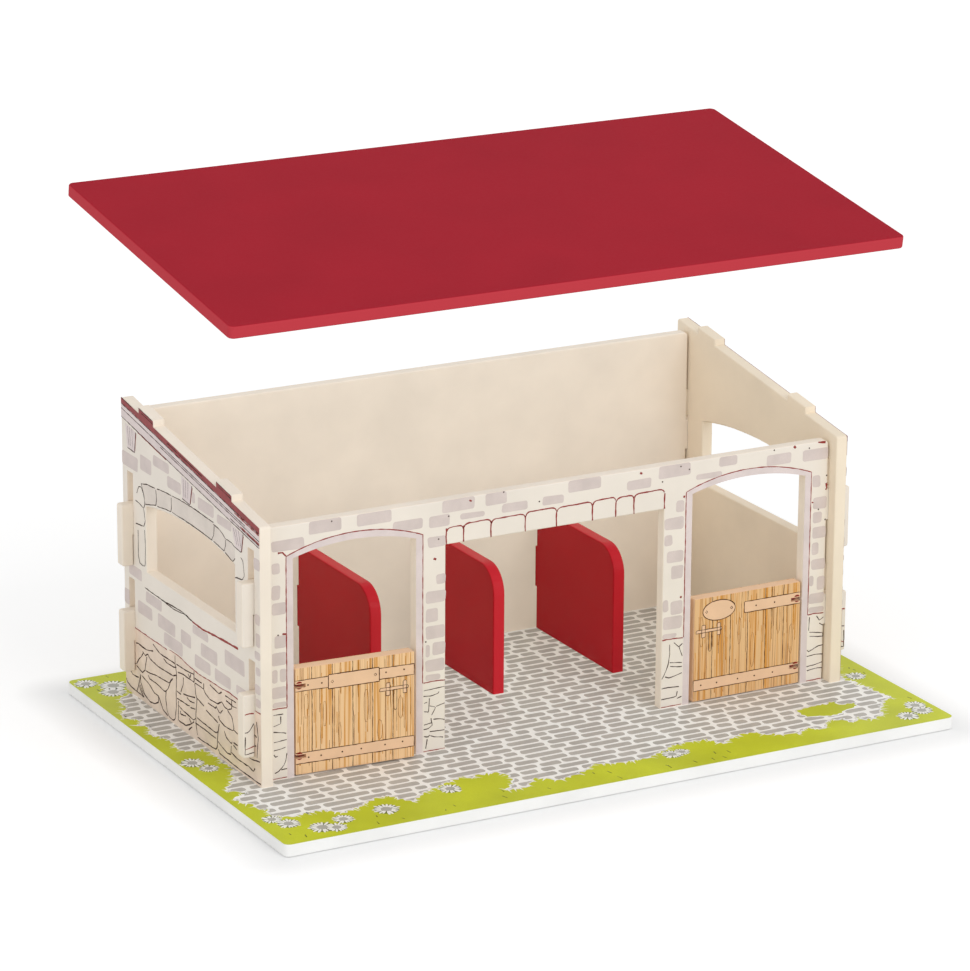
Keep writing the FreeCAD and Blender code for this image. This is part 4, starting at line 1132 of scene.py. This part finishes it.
DOORS = (
    ("left", {
        "planks": (-179.6, -168.9, -155.4, -141.9, -128.8, -115.3, -101.0),
        "battens": ((-179.6, -101, 62.6, 69.6), (-179.6, -101, 15.9, 22.9)),
        "plaque": plate(-158, -124.3, 61.5, 70.6),
        "screws": ((-155.4, 65.9), (-126.9, 66.2)),
        "nails": ((-171.4, 66), (-162.3, 66), (-119.8, 66.6), (-107.8, 66.8), (-171.2, 19.3),
                  (-163, 19.3), (-149, 19.5), (-136.4, 19.6), (-120.5, 19.8), (-108.8, 20)),
        "bolt": (-124, 55.6), "hinge": -177.2}),
    ("right", {
        "planks": (101.0, 114.2, 127.6, 140.4, 153.7, 167.2, 179.6),
        "battens": ((137.8, 179.6, 63, 70.4), (101, 179.6, 15.8, 23)),
        "plaque": oval(119, 68, 24, 13.4),
        "screws": ((109.8, 67.9), (128.2, 68.1)),
        "nails": ((146.6, 66.6), (160.4, 66.6), (106.6, 19.2), (118.3, 19.2), (133.9, 19.2),
                  (146.4, 19.2), (160.1, 19.3)),
        "bolt": (102.3, 55.3), "hinge": 177.2}))


def grain_lines(planks, seed):
    """Upright grain strokes and a long knot on each plank: wide light lines, thin dark ones."""
    draw = random.Random(seed)
    light, dark = [], []
    for left, right in zip(planks, planks[1:]):
        for i in range(8):
            x = draw.uniform(left + 0.9, right - 0.9)
            low = draw.uniform(DOOR_FOOT, 60)
            high = min(low + draw.uniform(12, 46), DOOR_HEAD)
            (light if i < 5 else dark).append(
                [(x, low), (x + draw.uniform(-0.4, 0.4), (low + high) / 2), (x, high)])
        x, z = draw.uniform(left + 3.5, right - 3.5), draw.uniform(30, 56)
        dark.append(loop(oval(x, z, draw.uniform(1.6, 3.4), draw.uniform(14, 26), 20)))
    return light, dark


class STABLE_OT_doors(bpy.types.Operator):
    """Print planks, battens, nails and bolts on the doors"""
    bl_idname = "stable.doors"
    bl_label = "Print doors"

    def execute(self, context):
        tone = colours()
        # The left door's pine is painted paler as painted light; the right door's keeps its own
        # tan.
        pines = {
            "left": printed_pine("left_pine_lit_ink", tone.pine, tone.pine_dark, tone.grain),
            "right": printed_pine("warm_pine_ink", tone.warm_pine, tone.pine_dark, tone.grain)}
        strap = printed_ink("pale_batten_ink", tone.strap, depth=0.05)
        brown = printed_ink("brown_door_ink", tone.door_line, shine=0.04)
        red = printed_ink("red_hinge_ink", tone.hinge, shine=0.08)
        orange = printed_ink("orange_grain_ink", tone.pine_dark)
        thin = printed_ink("brown_grain_ink", tone.grain, shine=0.08)

        axis = Vector((*LEFT_AXIS, 0)) * MM
        turns = {"right": Matrix(), "left": Matrix.Translation(axis)
                 @ Matrix.Rotation(math.radians(AJAR), 4, "Z") @ Matrix.Translation(-axis)}
        for name, door in DOORS:
            front = turns[name] @ plane((0, DOOR_FACE, 0), (1, 0, 0), (0, 0, 1))
            rear = turns[name] @ plane((0, DOOR_BACK, 0), (-1, 0, 0), (0, 0, 1))
            planks, plaque = door["planks"], door["plaque"]

            def door_piece(label, ink, parts):
                return add_piece(f"printed_{label}_{name}", parts, ink, name + "_door_leaf")

            def lined(lines, width, sway=0.3):
                return drawn(lines, width, brown, sway, 1.2)

            boards = [door_plate(a + 0.05, b - 0.05, DOOR_FOOT, DOOR_HEAD)
                      for a, b in zip(planks, planks[1:])]
            back_boards = [mirrored(board) for board in boards]
            printed = door_piece("planks", pines[name], [
                (patches(boards, 1), front), (patches(back_boards, 1), rear)])
            shifts = [i * PLANK_SHIFT for i, board in enumerate(boards + back_boards)
                      for end in board * 2]
            plank = printed.data.attributes.new("plank", "FLOAT", "POINT")
            plank.data.foreach_set("value", shifts)

            battens = [door_plate(*batten) for batten in door["battens"]]
            door_piece("battens", strap, [
                (patches(battens, 2), front), (patches([plaque], 3), front),
                (patches([mirrored(batten) for batten in battens], 2), rear)])

            light, dark = (clear_of(lines, NOTCHES) for lines in grain_lines(planks, len(name)))
            for label, lines, width, ink in (
                    ("light_grain", light, 0.45, orange), ("dark_grain", dark, 0.28, thin)):
                door_piece(label, ink, [
                    (drawn(way, width, ink, 0.25, 2.5), raised(side, 0.5)) for way, side in (
                        (lines, front), ([mirrored(line) for line in lines], rear))])

            x, z = door["bolt"]
            bolt = [plate(x, x + 19, z - 1, z + 1), plate(x + 4.2, x + 6.8, z - 4.2, z + 4),
                    plate(x + 15.6, x + 18, z - 4, z + 4.2)]
            handle = [(x + 9.4, z - 1), (x + 9.4, z - 13), (x + 10.4, z - 14.6),
                      (x + 11.4, z - 13), (x + 11.4, z - 1)]
            door_piece("bolt", strap, [
                (patches(bolt[:1], 2), front), (patches(bolt[1:], 2.5), front)])

            seams = [[(x, DOOR_FOOT), (x + 0.2, 40), (x, DOOR_HEAD)] for x in planks[1:-1]]
            rims = [batten_rim(*batten) for batten in door["battens"]]
            rings = [loop(oval(a, b, 1.7, 1.9, 12)) for a, b in door["screws"]]
            nails = dotted([(a, b, 0.55) for a, b in door["nails"]], brown)
            door_piece("door_lines", brown, [
                (lined(seams, 0.42), raised(front, 0.6)), (lined(rims, 0.45), raised(front, 1.7)),
                (lined([loop(plaque)], 0.5, 0.1), raised(front, 2.7)),
                (lined(rings, 0.3, 0.05), raised(front, 2.7)),
                (lined([loop(bar) for bar in bolt] + [handle], 0.35, 0.1), raised(front, 2.2)),
                (nails, raised(front, 2.2)),
                (lined([mirrored(seam) for seam in seams], 0.42), raised(rear, 0.6)),
                (lined([mirrored(rim) for rim in rims], 0.45), raised(rear, 1.7))])

            # Red print above and below each screw eye.
            hinges = []
            for z in EYE_HEIGHTS:
                mark = oval(door["hinge"], z + 0.5, 4.6, 5.0, 24)
                hinges.append([(a, b) for a, b in mark if b > z + NOTCH_HALF])
                hinges.append([(a, b) for a, b in mark if b < z - NOTCH_HALF])
            door_piece("hinge", red, [(patches(hinges, 3.4), front)])
        return {"FINISHED"}


# Camera fitted to the photograph: angles in degrees, place in metres, lens in millimetres.
CAMERA_TURN = (-28.5533, 17.3828, 0.3474)
CAMERA_PLACE = (-1.32957, -2.41277, 1.01270)
CAMERA_LENS = 170.44
# Softboxes as name, place, width and power, aimed at the middle of the stable.
SOFTBOXES = (("front_softbox", (0.5, -2.5, 1.5), 1.4, 19),
             ("side_softbox", (-2.4, -1.2, 0.9), 1.6, 6.5))
LAMP_AIM = (0, 0, 0.12)
# Half the floor, and its drop below the base so that the two don't touch.
FLOOR_REACH, FLOOR_DROP = 5.0, 0.0002


def set_surround(scene):
    """White surround: full to the camera and in reflections, a little dimmer as a lamp."""
    world = bpy.data.worlds.new("white_surround")
    scene.world = world
    world.use_nodes = True
    tree = world.node_tree
    tree.nodes.clear()
    path = add(tree, "ShaderNodeLightPath").outputs
    seen = calc(tree, "MAXIMUM", path["Is Camera Ray"], path["Is Transmission Ray"])
    shown = calc(tree, "MAXIMUM", seen, path["Is Glossy Ray"])
    back = add(tree, "ShaderNodeBackground", {
        "Color": (1, 1, 1, 1), "Strength": remap(tree, shown, 0, 1, 0.72, 1.0)})
    add(tree, "ShaderNodeOutputWorld", {"Surface": back.outputs[0]})


def backdrop_paper():
    """White paper that glows a little: darker within 35 mm of the base as a painted shadow, slowly
    brighter beyond.
    """
    paper, tree, place, _ = new_material("white_backdrop_paper")
    fibre = add(tree, "ShaderNodeTexNoise", {"Vector": place, "Scale": 3.0}).outputs[0]
    white = blend(tree, fibre, (0.88, 0.88, 0.88, 1), (0.9, 0.9, 0.9, 1))
    matt = add(tree, "ShaderNodeBsdfDiffuse", {"Color": white}).outputs[0]
    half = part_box("base_plate")[1]
    past = vector(tree, "SUBTRACT", vector(tree, "ABSOLUTE", place), (half.x, half.y, 0))
    away = vector(tree, "LENGTH", vector(tree, "MAXIMUM", past))
    # Painted shadow: the paper's glow drops close to the base.
    glow_with_painted_shadow = calc(tree, "ADD", remap(tree, away, 0, 0.035, 0.07, 0.29),
                remap(tree, away, 0.1, 1.4, end=0.12))
    glow = add(tree, "ShaderNodeEmission", {"Color": (1, 1, 1, 1), "Strength": glow_with_painted_shadow})
    lit = add(tree, "ShaderNodeAddShader", {0: matt, 1: glow.outputs[0]})
    path = add(tree, "ShaderNodeLightPath").outputs
    seen = calc(tree, "MAXIMUM", path["Is Camera Ray"], path["Is Glossy Ray"])
    both = add(tree, "ShaderNodeMixShader", {0: seen, 1: matt, 2: lit.outputs[0]})
    add(tree, "ShaderNodeOutputMaterial", {"Surface": both.outputs[0]})
    return paper


class STABLE_OT_stage(bpy.types.Operator):
    """Set the floor, the lamps, the white surround and the camera"""
    bl_idname = "stable.stage"
    bl_label = "Set stage"

    def execute(self, context):
        scene = context.scene
        scene.view_settings.view_transform = "Standard"
        set_surround(scene)

        sheet = bpy.data.meshes.new("floor")
        sheet.from_pydata([(x, y, -FLOOR_DROP) for x, y in plate(
            -FLOOR_REACH, FLOOR_REACH, -FLOOR_REACH, FLOOR_REACH)], [], [(0, 1, 2, 3)])
        floor = bpy.data.objects.new("floor", sheet)
        scene.collection.objects.link(floor)
        sheet.materials.append(backdrop_paper())

        # The walls were lit with the roof away, so the lifted roof throws no shade on them,
        # and the dividers throw no red.
        NODES["roof_panel"].visible_shadow = False
        for node in ("roof_panel",) + DIVIDERS:
            NODES[node].visible_diffuse = False

        for name, place, wide, power in SOFTBOXES:
            lamp = bpy.data.lights.new(name, "AREA")
            lamp.shape = "SQUARE"
            lamp.size = wide
            lamp.energy = power
            box = bpy.data.objects.new(name, lamp)
            scene.collection.objects.link(box)
            box.location = place
            aim = Vector(LAMP_AIM) - Vector(place)
            box.rotation_euler = aim.to_track_quat("-Z", "Y").to_euler()

        azimuth, elevation, roll = (math.radians(a) for a in CAMERA_TURN)
        backward = Vector((math.sin(azimuth) * math.cos(elevation),
                           -math.cos(azimuth) * math.cos(elevation), math.sin(elevation)))
        across = Vector((math.cos(azimuth), math.sin(azimuth), 0))
        upward = backward.cross(across)
        right = across * math.cos(roll) + upward * math.sin(roll)
        top = upward * math.cos(roll) - across * math.sin(roll)
        lens = bpy.data.cameras.new("camera")
        lens.lens = CAMERA_LENS
        lens.sensor_width = 36.0
        lens.clip_end = 50.0
        camera = bpy.data.objects.new("camera", lens)
        scene.collection.objects.link(camera)
        turn = Matrix((right, top, backward)).transposed().to_4x4()
        camera.matrix_world = Matrix.Translation(CAMERA_PLACE) @ turn
        scene.camera = camera
        return {"FINISHED"}


class STABLE_PT_panel(bpy.types.Panel):
    """Steps that dress the stable"""
    bl_idname = "STABLE_PT_panel"
    bl_label = "Toy Horse Stable"
    bl_space_type = "VIEW_3D"
    bl_region_type = "UI"
    bl_category = "Stable"

    def draw(self, context):
        for step in STEPS:
            self.layout.operator(step.bl_idname)
        for group in (context.scene.stable_colours, context.scene.stable_sizes):
            for name in group.__annotations__:
                self.layout.prop(group, name)


STEPS = (STABLE_OT_boards, STABLE_OT_walls, STABLE_OT_paving, STABLE_OT_doors, STABLE_OT_stage)
CLASSES = (StableColours, StableSizes) + STEPS + (STABLE_PT_panel,)


def register():
    for cls in CLASSES:
        bpy.utils.register_class(cls)
    bpy.types.Scene.stable_colours = bpy.props.PointerProperty(type=StableColours)
    bpy.types.Scene.stable_sizes = bpy.props.PointerProperty(type=StableSizes)


def unregister():
    del bpy.types.Scene.stable_sizes
    del bpy.types.Scene.stable_colours
    for cls in reversed(CLASSES):
        bpy.utils.unregister_class(cls)


def main():
    register()
    bpy.ops.stable.boards()
    bpy.ops.stable.walls()
    bpy.ops.stable.paving()
    bpy.ops.stable.doors()
    bpy.ops.stable.stage()


if __name__ == "__main__":
    main()
